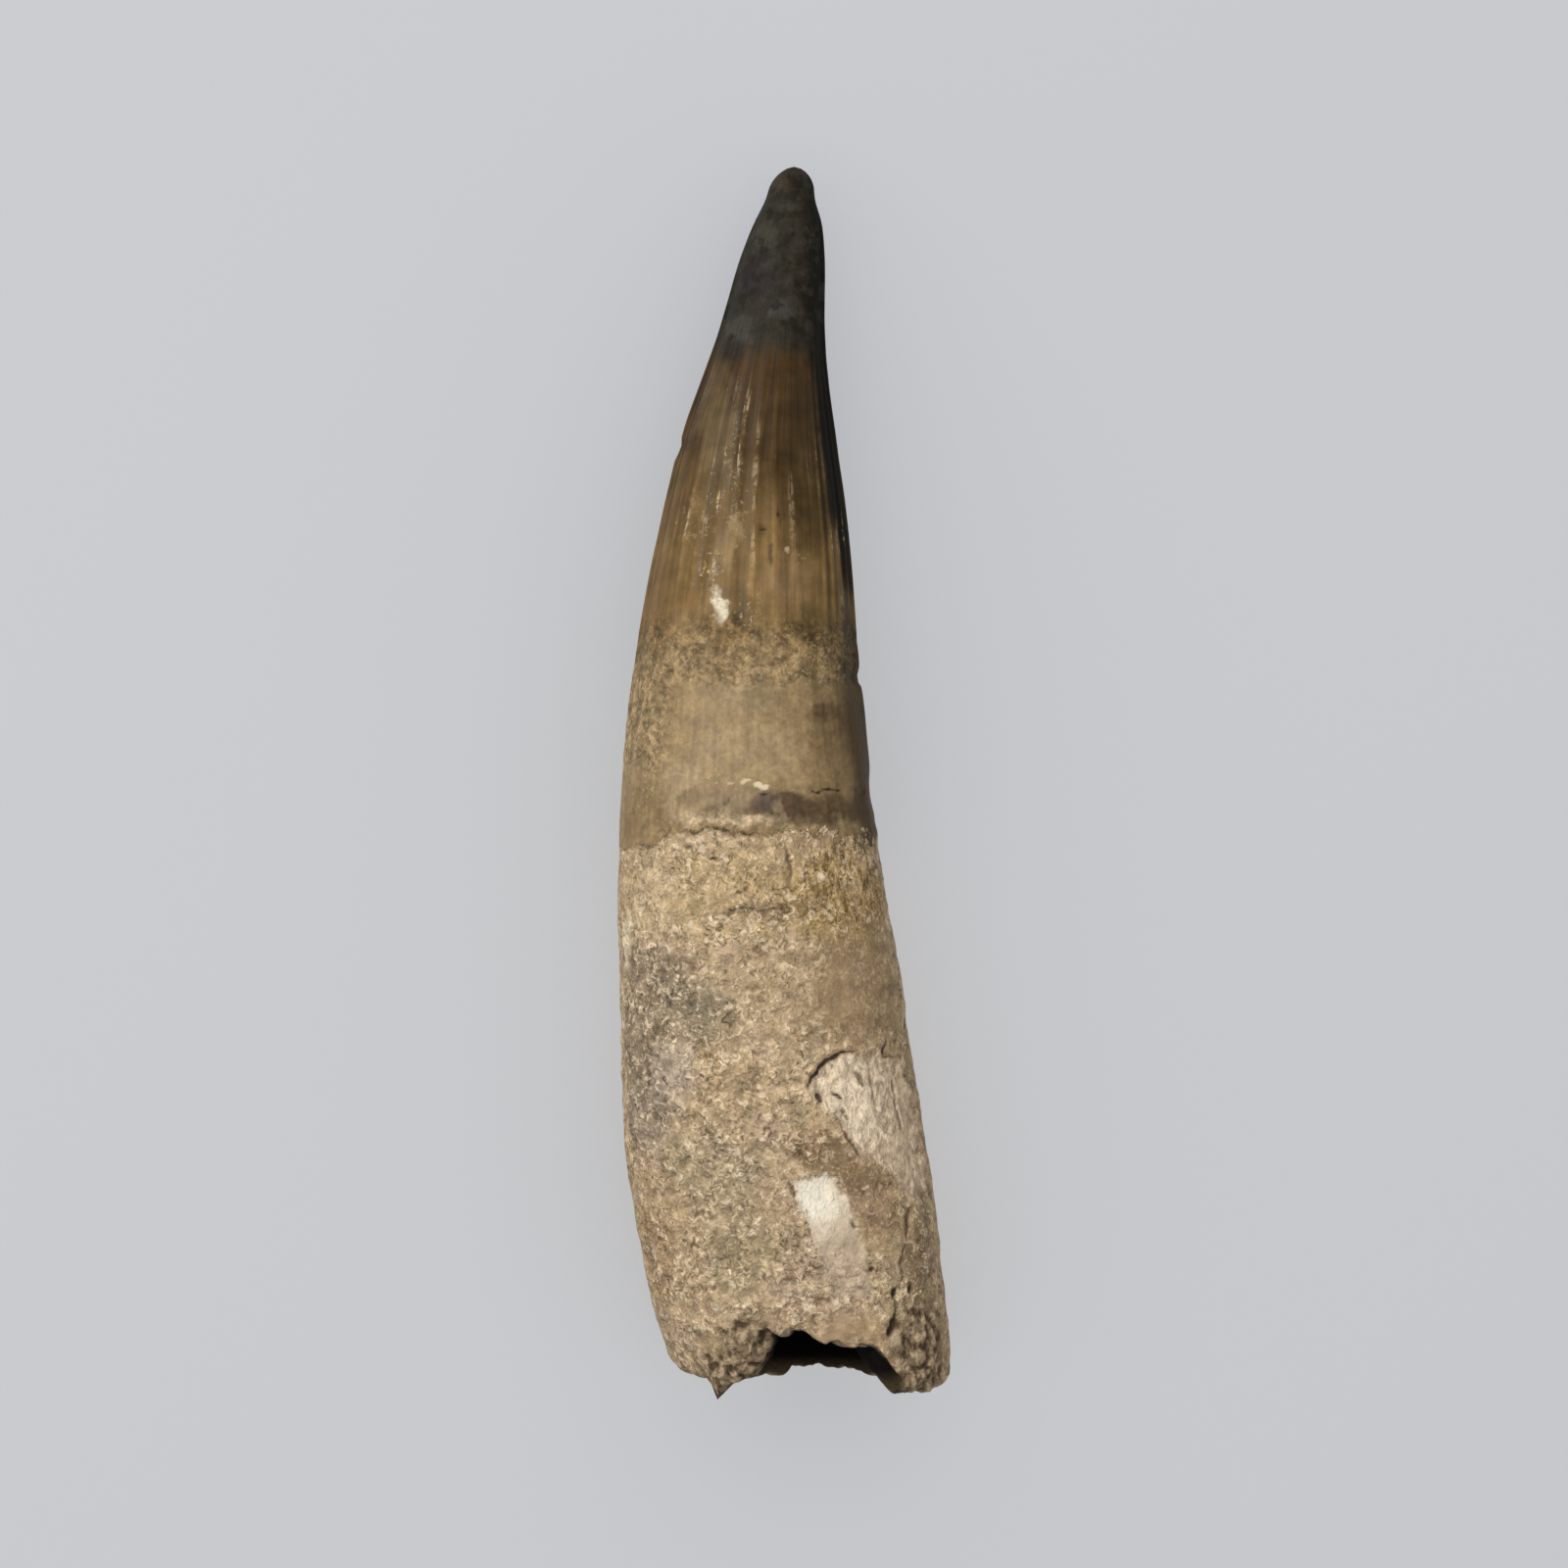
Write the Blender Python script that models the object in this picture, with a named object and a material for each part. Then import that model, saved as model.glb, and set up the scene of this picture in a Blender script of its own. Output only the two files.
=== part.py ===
"""A fossil dinosaur tooth with its root: one solid, lying on its side.

Metres, +Z up. The tip points along +Y and the broken end of the root along -Y. The origin is on
the surface that the tooth lies on, under the middle of its box.

The skin is one grid of rings and columns. The rings run from the tip down the crown and the root,
over the broken rim and up the inside of the pulp cavity. The columns run round the tooth: turn 0 is
the right-hand side (+X), a quarter turn is the upper side (+Z).
"""

import math

import bmesh
import bpy
import numpy as np
from mathutils import Vector, noise

MM = 0.001
DEG = math.pi / 180

# Driving dimensions, in millimetres. Depth is measured from the tip towards the root.
CROWN_LENGTH = 65.8
CAVITY_TOP = 86.0
CAVITY_HALF_WIDTH = 8.9
CAVITY_HALF_HEIGHT = 7.8
CAVITY_SHIFT = (-0.5, 0.5)
RIM_DEPTH = 118.0
RESTING_CUT = 0.0

# The outline seen from above and the section's height: depth, left edge, right edge, height, middle
STATIONS = (
    (0.0, -1.2, 2.8, 3.1, 6.3),
    (3.1, -1.9, 2.8, 4.6, 6.6),
    (8.9, -4.1, 3.5, 7.3, 7.3),
    (17.6, -6.7, 3.6, 10.5, 8.3),
    (26.2, -9.7, 4.6, 13.4, 9.1),
    (37.8, -12.5, 6.1, 16.9, 9.9),
    (49.4, -14.6, 7.0, 19.5, 10.3),
    (61.0, -16.1, 8.4, 20.9, 10.5),
    (72.5, -16.4, 9.9, 21.5, 10.7),
    (84.0, -16.2, 11.9, 22.0, 10.9),
    (95.7, -15.9, 13.9, 22.1, 10.8),
    (107.3, -14.0, 15.1, 21.7, 10.6),
    (116.0, -11.7, 16.3, 21.0, 10.5),
    (120.0, -9.6, 16.2, 20.2, 10.3),
)
TIP_ROUNDING = 2.4
ROOT_SQUARENESS = 2.2

# The broken rim: degrees round from the right-hand side, and how deep the wall reaches there
RIM = (
    (0, 119.0),
    (32, 119.9),
    (50, 119.6),
    (58, 117.6),
    (63, 115.6),
    (74, 115.0),
    (84, 114.5),
    (95, 113.5),
    (106, 114.1),
    (112, 115.4),
    (119, 117.2),
    (132, 118.8),
    (150, 118.7),
    (180, 117.6),
    (205, 118.6),
    (228, 119.6),
    (248, 119.4),
    (262, 118.7),
    (276, 118.7),
    (300, 119.3),
    (325, 119.2),
)
# The sliver of bone left standing on the rim: degrees round, length, and its half-width in degrees
SLIVER_AT = 138.6
SLIVER_LENGTH = 2.3
SLIVER_HALF_ANGLE = 4.0

# Flutes and cutting edges of the enamel
FLUTES = 28
FLUTE_HEIGHT = 0.24
EDGE_TURNS = (8.0, 177.0)
EDGE_HEIGHT = 0.38
EDGE_HALF_ANGLE = 4.0

# The places of damage, as depth and degrees round, with sizes in millimetres
ENAMEL_STEP = 0.32
GROOVE_DEPTH = 0.34
CHIP_DEPTH = 0.28
SCAR_DEPTH = 0.55
NODULE_HEIGHT = 0.9
TROUGH_DEPTH = 0.7
TROUGH_TURN = 222
NICKS = ((27.6, 176, 0.9, 0.5), (49.8, 4, 1.0, 0.4), (61.6, 2, 1.4, 0.45), (84.8, 6, 1.2, 0.4))

# The two spalled scars on the upper side of the root, as (x, depth) corners
UPPER_SCAR = (
    (2.1, 90.0),
    (3.4, 88.0),
    (6.3, 86.7),
    (8.4, 87.2),
    (10.4, 90.9),
    (12.2, 95.0),
    (11.6, 98.6),
    (7.4, 97.0),
    (4.8, 92.8),
    (2.2, 92.4),
)
LOWER_SCAR = (
    (0.6, 99.4),
    (2.6, 98.8),
    (4.6, 99.2),
    (6.2, 103.0),
    (7.0, 108.0),
    (3.2, 108.0),
    (1.4, 104.2),
)

# Rings of the skin: from depth, to depth, number of rings
RING_SPANS = (
    (0.3, 3.6, 5),
    (5.2, 57.5, 15),
    (60.0, 68.4, 8),
    (71.0, 84.0, 5),
    (86.0, 108.0, 12),
    (110.0, RIM_DEPTH, 5),
)
COLUMNS = 3 * FLUTES
CAP_RINGS = 3
CAVITY_RINGS = 7

# Finish
FOSSIL_COLOUR = (0.36, 0.26, 0.15, 1.0)
FOSSIL_ROUGHNESS = 0.6


def curve_through(points, at):
    """A smooth curve through (place, value) pairs, read at the places in `at`."""
    xs, ys = (np.array(row, float) for row in zip(*points))
    slopes = np.gradient(ys, xs)
    i = np.clip(np.searchsorted(xs, at, side="right") - 1, 0, len(xs) - 2)
    span = xs[i + 1] - xs[i]
    t = np.clip((at - xs[i]) / span, 0, 1)
    return (
        ys[i] * (1 + 2 * t) * (1 - t) ** 2
        + ys[i + 1] * t**2 * (3 - 2 * t)
        + span * (slopes[i] * t * (1 - t) ** 2 - slopes[i + 1] * t**2 * (1 - t))
    )


def step_between(low, high, at):
    """0 below `low`, 1 above `high`, smooth between."""
    t = np.clip((at - low) / (high - low), 0, 1)
    return t * t * (3 - 2 * t)


def bump_at(centre, half_width, at):
    """A round bump of height 1, gone a few half-widths away."""
    return np.exp(-(((at - centre) / half_width) ** 2))


def turn_from(degrees, angle):
    """The signed turn from a place on the tooth's side, in degrees, within half a turn."""
    return (angle / DEG - degrees + 180) % 360 - 180


def station(column, depth):
    """One column of the station table, read at a depth."""
    return curve_through([(row[0], row[column]) for row in STATIONS], depth)


def section(depth):
    """The middle (x, z) and the half-sizes of the outer section."""
    left, right = station(1, depth), station(2, depth)
    rounding = (1 - (1 - np.clip(depth / TIP_ROUNDING, 0, 1)) ** 2) ** 0.62
    return (
        (left + right) / 2,
        station(4, depth),
        (right - left) / 2 * rounding,
        station(3, depth) / 2 * rounding,
    )


def rim_depth(angle):
    """How deep the broken wall reaches at this angle, without the sliver."""
    closed = RIM + ((RIM[0][0] + 360, RIM[0][1]),)
    return np.interp((angle / DEG) % 360, *zip(*closed))


def sliver_share(angle):
    """1 on the line of the sliver, 0 beside it."""
    return np.clip(1 - np.abs(turn_from(SLIVER_AT, angle)) / SLIVER_HALF_ANGLE, 0, 1)


def wall_thickness(angle):
    """The wall at the rim, thick at the sides and thin above and below."""
    return 1.8 + 2.8 * np.abs(np.cos(angle))


def outer_point(depth, angle):
    """A point of the plain outer skin."""
    x, z, half_width, half_height = section(depth)
    power = 2 / (2 + (ROOT_SQUARENESS - 2) * step_between(50, 70, depth))
    cos, sin = np.cos(angle), np.sin(angle)
    return np.stack(
        [
            x + half_width * np.sign(cos) * np.abs(cos) ** power,
            -depth,
            z + half_height * np.sign(sin) * np.abs(sin) ** power,
        ],
        -1,
    )


def cavity_point(depth, angle):
    """A point of the plain skin of the pulp cavity."""
    x, z, _, _ = section(depth)
    reach = np.clip((depth - CAVITY_TOP) / (RIM_DEPTH - CAVITY_TOP), 0, 1.2)
    size = reach**0.55
    shift_x, shift_z = CAVITY_SHIFT
    return np.stack(
        [
            x + shift_x * reach + CAVITY_HALF_WIDTH * size * np.cos(angle),
            -depth,
            z + shift_z * reach + CAVITY_HALF_HEIGHT * size * np.sin(angle),
        ],
        -1,
    )


def inside_distance(corners, x, y):
    """How far (x, y) is inside a polygon, below 0 outside it."""
    distance = np.full(np.shape(x), 1e9)
    inside = np.zeros(np.shape(x), bool)
    for (ax, ay), (bx, by) in zip(corners, corners[1:] + corners[:1]):
        along = np.clip(
            ((x - ax) * (bx - ax) + (y - ay) * (by - ay)) / ((bx - ax) ** 2 + (by - ay) ** 2), 0, 1
        )
        gap = np.hypot(x - ax - along * (bx - ax), y - ay - along * (by - ay))
        distance = np.minimum(distance, gap)
        crosses = (ay > y) != (by > y)
        edge_x = ax + (y - ay) * (bx - ax) / (by - ay if by != ay else 1e-9)
        inside ^= crosses & (x < edge_x)
    return np.where(inside, distance, -distance)


def noise_at(points, scale, seed):
    """Smooth noise from -1 to 1 with bumps about `scale` millimetres across."""
    offset = Vector((seed * 17.3, seed * 5.1, seed * 9.7))
    flat = points.reshape(-1, 3) / scale
    return np.array([noise.noise(Vector(p) + offset) for p in flat]).reshape(points.shape[:-1])


def crown_relief(depth, angle, flute_turn):
    """Flutes and the two cutting edges, in millimetres."""
    fade = step_between(8, 19, depth) * (1 - step_between(40, 51, depth))
    crest = (0.5 + 0.5 * np.cos(FLUTES * flute_turn)) ** 1.5 - 0.4
    relief = FLUTE_HEIGHT * fade * crest
    edge_fade = step_between(3, 10, depth) * (1 - step_between(52, 62, depth))
    for turn in EDGE_TURNS:
        relief += EDGE_HEIGHT * edge_fade * bump_at(0, EDGE_HALF_ANGLE, turn_from(turn, angle))
    return relief


def enamel_edge(angle):
    """The depth of the ragged lower edge of the enamel."""
    return CROWN_LENGTH + 0.7 * np.sin(angle * 2 + 2.2) + 0.45 * np.sin(angle * 5 + 0.6)


def edge_relief(depth, angle):
    """The step down from enamel to root, the groove under it and the chipped band above it."""
    past = depth - enamel_edge(angle)
    step = -ENAMEL_STEP * step_between(-0.5, 0.4, past) * (1 - step_between(1.5, 8, past))
    groove = -GROOVE_DEPTH * bump_at(0.7, 0.75, past)
    worn_left = 1 - 0.75 * bump_at(0, 50, turn_from(190, angle))
    right_side = bump_at(40, 42, turn_from(0, angle))
    chipped = step_between(-4.6, -4.0, past) * (1 - step_between(-1.3, -0.6, past))
    return (step + groove) * worn_left - CHIP_DEPTH * chipped * right_side


def damage_relief(points, depth, angle):
    """Spalled scars, the nodules on the right-hand lobe, and nicks in the sides."""
    upper = points[..., 2] > 10
    x = points[..., 0]
    relief = np.zeros(np.shape(x))
    for corners in (UPPER_SCAR, LOWER_SCAR):
        relief -= SCAR_DEPTH * upper * step_between(-0.3, 0.6, inside_distance(corners, x, depth))
    lobe = bump_at(34, 24, turn_from(0, angle)) * step_between(109, 113, depth)
    relief += NODULE_HEIGHT * lobe * np.abs(noise_at(points, 1.9, 3)) * 1.6
    for at_depth, turn, half_length, depth_cut in NICKS:
        near = bump_at(at_depth, half_length, depth) * bump_at(0, 9, turn_from(turn, angle))
        relief -= depth_cut * near
    return relief


def rough_relief(points, depth):
    """Uneven bone: swells everywhere, and a coarser grain on the root."""
    root = step_between(60, 68, depth)
    swell = noise_at(points, 11, 1) * (0.12 + 0.22 * root)
    grain = noise_at(points, 2.6, 2) * (0.03 + 0.17 * root)
    return swell + grain


def hidden_side_relief(depth, angle):
    """The shallow trough that runs along the underside of the root, beside where it rests."""
    along = step_between(70, 80, depth) * (1 - step_between(112, 119, depth))
    return -TROUGH_DEPTH * along * bump_at(0, 15, turn_from(TROUGH_TURN, angle))


def ring_depths():
    """The depths of the outer rings, tip first."""
    return np.concatenate([np.linspace(*span) for span in RING_SPANS])


def skin_grid():
    """The plain skin's points, with each point's depth, angle and share of outer skin."""
    flute_turn = np.arange(COLUMNS) * 2 * math.pi / COLUMNS
    angle = flute_turn + 0.05 * np.sin(3 * flute_turn + 1.0) + 0.03 * np.sin(5 * flute_turn)
    sliver = sliver_share(angle)
    rounding = 0.4 * wall_thickness(angle)
    rim = rim_depth(angle) - rounding
    outer_rim = rim + (SLIVER_LENGTH + rounding) * sliver
    rows = []
    for nominal in ring_depths():
        depth = nominal + (rim - RIM_DEPTH) * step_between(92, RIM_DEPTH, nominal)
        depth = depth + (outer_rim - rim) * step_between(114, RIM_DEPTH, nominal)
        rows.append((outer_point(depth, angle), depth, 1.0))
    outer, inner = rows[-1][0], cavity_point(rim, angle)
    for turn in np.arange(1, CAP_RINGS + 1) * math.pi / (CAP_RINGS + 1):
        share = 0.5 + 0.5 * math.cos(turn)
        points = inner + (outer - inner) * (share ** (1 + 0.7 * sliver))[:, None]
        points[:, 1] -= rounding * math.sin(turn) * (1 - sliver)
        rows.append((points, rim, share))
    for share in np.linspace(1, 0.03, CAVITY_RINGS):
        depth = CAVITY_TOP + (rim - CAVITY_TOP) * share
        rows.append((cavity_point(depth, angle), depth, 0.0))
    points = np.stack([row[0] for row in rows])
    depths = np.stack([np.broadcast_to(row[1], angle.shape) for row in rows])
    outside = np.stack([np.full(angle.shape, row[2]) for row in rows])
    return points, depths, np.broadcast_to(angle, depths.shape), flute_turn, outside


def grid_normals(points):
    """Unit normals of the grid, facing out of the bone."""
    down = np.gradient(points, axis=0)
    around = np.roll(points, -1, axis=1) - np.roll(points, 1, axis=1)
    normal = np.cross(around, down)
    return normal / np.linalg.norm(normal, axis=-1, keepdims=True)


def carved_skin():
    """The skin's points with all relief, in metres, standing on z = 0 and centred in x and y."""
    points, depth, angle, flute_turn, outside = skin_grid()
    relief = (
        crown_relief(depth, angle, flute_turn)
        + edge_relief(depth, angle)
        + damage_relief(points, depth, angle)
        + hidden_side_relief(depth, angle)
    )
    resting = bump_at(0, 20, turn_from(270, angle))
    rough = rough_relief(points, depth) * (0.35 + 0.65 * outside) * (1 - 0.55 * resting)
    relief = relief * outside**2 + rough
    near_tip = step_between(0, 3, depth)
    points = points + grid_normals(points) * (relief * near_tip)[..., None]
    points[..., 2] = np.maximum(points[..., 2], RESTING_CUT)
    low, high = points.min((0, 1)), points.max((0, 1))
    high[1] = max(high[1], 0.0)
    middle = np.array([(low[0] + high[0]) / 2, (low[1] + high[1]) / 2, RESTING_CUT])
    tip_x, tip_z = (float(row[0]) for row in section(np.array([0.0]))[:2])
    tip = np.array([tip_x, 0.0, tip_z])
    apex = points[-1].mean(0) + np.array([0.0, 0.4, 0.0])
    return (points - middle) * MM, (tip - middle) * MM, (apex - middle) * MM


def build_tooth():
    """The tooth as one closed mesh object."""
    points, tip, apex = carved_skin()
    shape = bmesh.new()
    rings = [[shape.verts.new(p) for p in row] for row in points]
    first, last = shape.verts.new(tip), shape.verts.new(apex)
    for k in range(COLUMNS):
        n = (k + 1) % COLUMNS
        shape.faces.new((first, rings[0][k], rings[0][n]))
        shape.faces.new((last, rings[-1][n], rings[-1][k]))
        for upper, lower in zip(rings, rings[1:]):
            shape.faces.new((upper[k], lower[k], lower[n], upper[n]))
    bmesh.ops.recalc_face_normals(shape, faces=shape.faces)
    mesh = bpy.data.meshes.new("tooth")
    shape.to_mesh(mesh)
    shape.free()
    mesh.shade_smooth()
    mesh.set_sharp_from_angle(angle=40 * DEG)
    tooth = bpy.data.objects.new("tooth", mesh)
    bpy.context.scene.collection.objects.link(tooth)
    return tooth


def fossil_finish():
    """Tan, slightly glossy fossil bone."""
    material = bpy.data.materials.new("fossil_tooth")
    material.use_nodes = True
    shader = material.node_tree.nodes["Principled BSDF"]
    shader.inputs["Base Color"].default_value = FOSSIL_COLOUR
    shader.inputs["Roughness"].default_value = FOSSIL_ROUGHNESS
    return material


def main():
    for leftover in list(bpy.data.objects):
        bpy.data.objects.remove(leftover)
    tooth = build_tooth()
    tooth.data.materials.append(fossil_finish())


main()
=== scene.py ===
"""A fossil dinosaur tooth, lying on its side: its skin, the finish of each surface and a plain studio.

Sizes are in millimetres until the mesh is made. Depth is measured from the tip towards the root. A
turn is an angle round the tooth, in degrees: 0 is the right-hand side (+X), 90 is the upper side
(+Z). A mark on the upper side is placed by its x and its depth.
"""

import logging
import math
from dataclasses import dataclass
from enum import Enum
from functools import cached_property

import bpy
import numpy as np
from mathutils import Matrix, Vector, noise


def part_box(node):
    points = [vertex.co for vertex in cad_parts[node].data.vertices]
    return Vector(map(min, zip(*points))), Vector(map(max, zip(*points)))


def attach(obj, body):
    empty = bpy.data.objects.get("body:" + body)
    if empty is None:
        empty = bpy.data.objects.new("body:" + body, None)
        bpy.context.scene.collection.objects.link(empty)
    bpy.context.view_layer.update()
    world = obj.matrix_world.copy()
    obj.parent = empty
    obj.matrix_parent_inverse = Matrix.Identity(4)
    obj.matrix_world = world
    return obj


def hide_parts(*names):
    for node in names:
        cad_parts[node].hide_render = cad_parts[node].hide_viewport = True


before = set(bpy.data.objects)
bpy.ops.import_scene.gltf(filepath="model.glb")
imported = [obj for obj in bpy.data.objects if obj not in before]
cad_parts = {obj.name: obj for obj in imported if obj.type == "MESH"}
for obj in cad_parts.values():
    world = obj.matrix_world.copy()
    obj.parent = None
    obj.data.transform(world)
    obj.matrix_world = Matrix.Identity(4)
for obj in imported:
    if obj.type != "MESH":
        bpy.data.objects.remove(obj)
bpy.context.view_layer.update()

MM = 0.001
RING_RADIUS = 12.0
Array = np.ndarray
Socket = bpy.types.NodeSocket
Span = tuple[float, float]
Colour = tuple[float, float, float]
Corners = tuple[tuple[float, float], ...]
log = logging.getLogger("fossil_tooth")


class Measure(Enum):
    """A column of the plain form's stations, after the depth."""

    LEFT = 1
    RIGHT = 2
    HEIGHT = 3
    MIDDLE = 4


def smooth_step(low: float, high: float, at: Array) -> Array:
    """Gives 0 below `low`, 1 above `high`, and a smooth rise between.

    Args:
        low: Where the rise starts.
        high: Where the rise ends.
        at: The values to read.

    Returns:
        The rise at each value.
    """
    t = np.clip((at - low) / (high - low), 0, 1)
    return t * t * (3 - 2 * t)


def stretch(rise: Span, fall: Span, at: Array) -> Array:
    """Gives 1 over a stretch, with smooth ends.

    Args:
        rise: Where the rise to 1 starts and ends.
        fall: Where the fall back to 0 starts and ends.
        at: The values to read.

    Returns:
        The height at each value.
    """
    return smooth_step(*rise, at) * (1 - smooth_step(*fall, at))


def hump(middle: float, half_width: float, at: Array) -> Array:
    """Gives a round hump of height 1.

    Args:
        middle: Where the hump is highest.
        half_width: Where it has fallen to about a third.
        at: The values to read.

    Returns:
        The hump's height at each value.
    """
    return np.exp(-(((at - middle) / half_width) ** 2))


def turn_between(middle: float, turn: Array) -> Array:
    """Measures a turn from a place on the tooth's side.

    Args:
        middle: The place, in degrees round.
        turn: The turns to measure.

    Returns:
        The signed difference, within half a turn.
    """
    return (turn - middle + 180) % 360 - 180


def curve_through(points: Corners, at: Array) -> Array:
    """Reads a smooth curve through (place, value) pairs.

    Args:
        points: The pairs, by rising place.
        at: The places to read.

    Returns:
        The curve's values.
    """
    xs, ys = (np.array(row, float) for row in zip(*points))
    slopes = np.gradient(ys, xs)
    i = np.clip(np.searchsorted(xs, at, side="right") - 1, 0, len(xs) - 2)
    span = xs[i + 1] - xs[i]
    t = np.clip((at - xs[i]) / span, 0, 1)
    return (
        ys[i] * (1 + 2 * t) * (1 - t) ** 2
        + ys[i + 1] * t**2 * (3 - 2 * t)
        + span * (slopes[i] * t * (1 - t) ** 2 - slopes[i + 1] * t**2 * (1 - t))
    )


def closed_curve(points: Corners, turn: Array) -> Array:
    """Reads straight runs between (turn, value) pairs that close round the tooth.

    Args:
        points: The pairs, by rising turn from 0.
        turn: The turns to read.

    Returns:
        The values.
    """
    closed = points + ((points[0][0] + 360, points[0][1]),)
    return np.interp(turn % 360, *zip(*closed))


def noise_at(points: Array, scale: float, seed: int) -> Array:
    """Gives smooth noise.

    Args:
        points: The places, with x, y and z last.
        scale: The size of its bumps.
        seed: Which noise.

    Returns:
        Values from -1 to 1.
    """
    offset = Vector((seed * 17.3, seed * 5.1, seed * 9.7))
    flat = points.reshape(-1, 3) / scale
    values = np.fromiter((noise.noise(Vector(p) + offset) for p in flat), float, len(flat))
    return values.reshape(points.shape[:-1])


def places_round(turn: Array, radius: float, along: "Array | float" = 0.0) -> Array:
    """Lays places round a plain rod, so that noise read there meets itself round the tooth.

    Args:
        turn: The places' turns.
        radius: The rod's radius.
        along: How far along the rod they are.

    Returns:
        The places.
    """
    cos, sin = np.cos(np.radians(turn)), np.sin(np.radians(turn))
    return np.stack([radius * cos, radius * sin, along + 0 * cos], -1)


def standing(relief: Array, reach: int = 3) -> Array:
    """Measures how far each point of a grid stands above the points around it.

    Args:
        relief: The relief of the grid's points.
        reach: How many points away the others are taken from.

    Returns:
        The height above the mean of the others, below 0 in a pit.
    """
    around = relief
    steps = range(-reach, reach + 1)
    for axis in (0, 1):
        around = sum(np.roll(around, step, axis) for step in steps) / len(steps)
    return relief - around


def distance_inside(corners: Corners, x: Array, y: Array) -> Array:
    """Measures how far a place is inside a polygon.

    Args:
        corners: The polygon's corners.
        x: The places' first coordinates.
        y: The places' second coordinates.

    Returns:
        The distance to the polygon's edge, below 0 outside it.
    """
    inside = np.zeros(np.shape(x), bool)
    for (ax, ay), (bx, by) in zip(corners, corners[1:] + corners[:1]):
        crosses = (ay > y) != (by > y)
        edge_x = ax + (y - ay) * (bx - ax) / (by - ay if by != ay else 1e-9)
        inside ^= crosses & (x < edge_x)
    gap, _ = distance_to_line(corners + corners[:1], x, y)
    return np.where(inside, gap, -gap)


def distance_to_line(route: Corners, x: Array, y: Array) -> tuple[Array, Array]:
    """Measures the distance to a line through some points.

    Args:
        route: The line's points.
        x: The places' first coordinates.
        y: The places' second coordinates.

    Returns:
        The distance to the line, and how far along it the nearest point is, from 0 to 1.
    """
    nearest, share = np.full(np.shape(x), 1e9), np.zeros(np.shape(x))
    stretches = len(route) - 1
    for i, ((ax, ay), (bx, by)) in enumerate(zip(route, route[1:])):
        length = (bx - ax) ** 2 + (by - ay) ** 2
        along = np.clip(((x - ax) * (bx - ax) + (y - ay) * (by - ay)) / length, 0, 1)
        gap = np.hypot(x - ax - along * (bx - ax), y - ay - along * (by - ay))
        share = np.where(gap < nearest, (i + along) / stretches, share)
        nearest = np.minimum(nearest, gap)
    return nearest, share


@dataclass
class Skin:
    """The tooth's skin as a grid of rings and columns, and where each point is on the tooth."""

    points: Array
    depth: Array
    turn: Array
    flute_turn: Array
    outside: Array

    @property
    def x(self) -> Array:
        """The points' places across the tooth."""
        return self.points[..., 0]

    @property
    def upper(self) -> Array:
        """1 on the upper side of the tooth, 0 on the under side."""
        return smooth_step(0.0, 0.3, np.sin(np.radians(self.turn)))

    def normals(self) -> Array:
        """Unit normals, out of the bone."""
        down = np.gradient(self.points, axis=0)
        around = np.roll(self.points, -1, axis=1) - np.roll(self.points, 1, axis=1)
        normal = np.cross(around, down)
        return normal / np.maximum(np.linalg.norm(normal, axis=-1, keepdims=True), 1e-9)

    def pushed_out(self, relief: Array) -> "Skin":
        """The same skin with its points moved out by `relief` millimetres."""
        moved = self.points + self.normals() * relief[..., None]
        return Skin(moved, self.depth, self.turn, self.flute_turn, self.outside)


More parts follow.
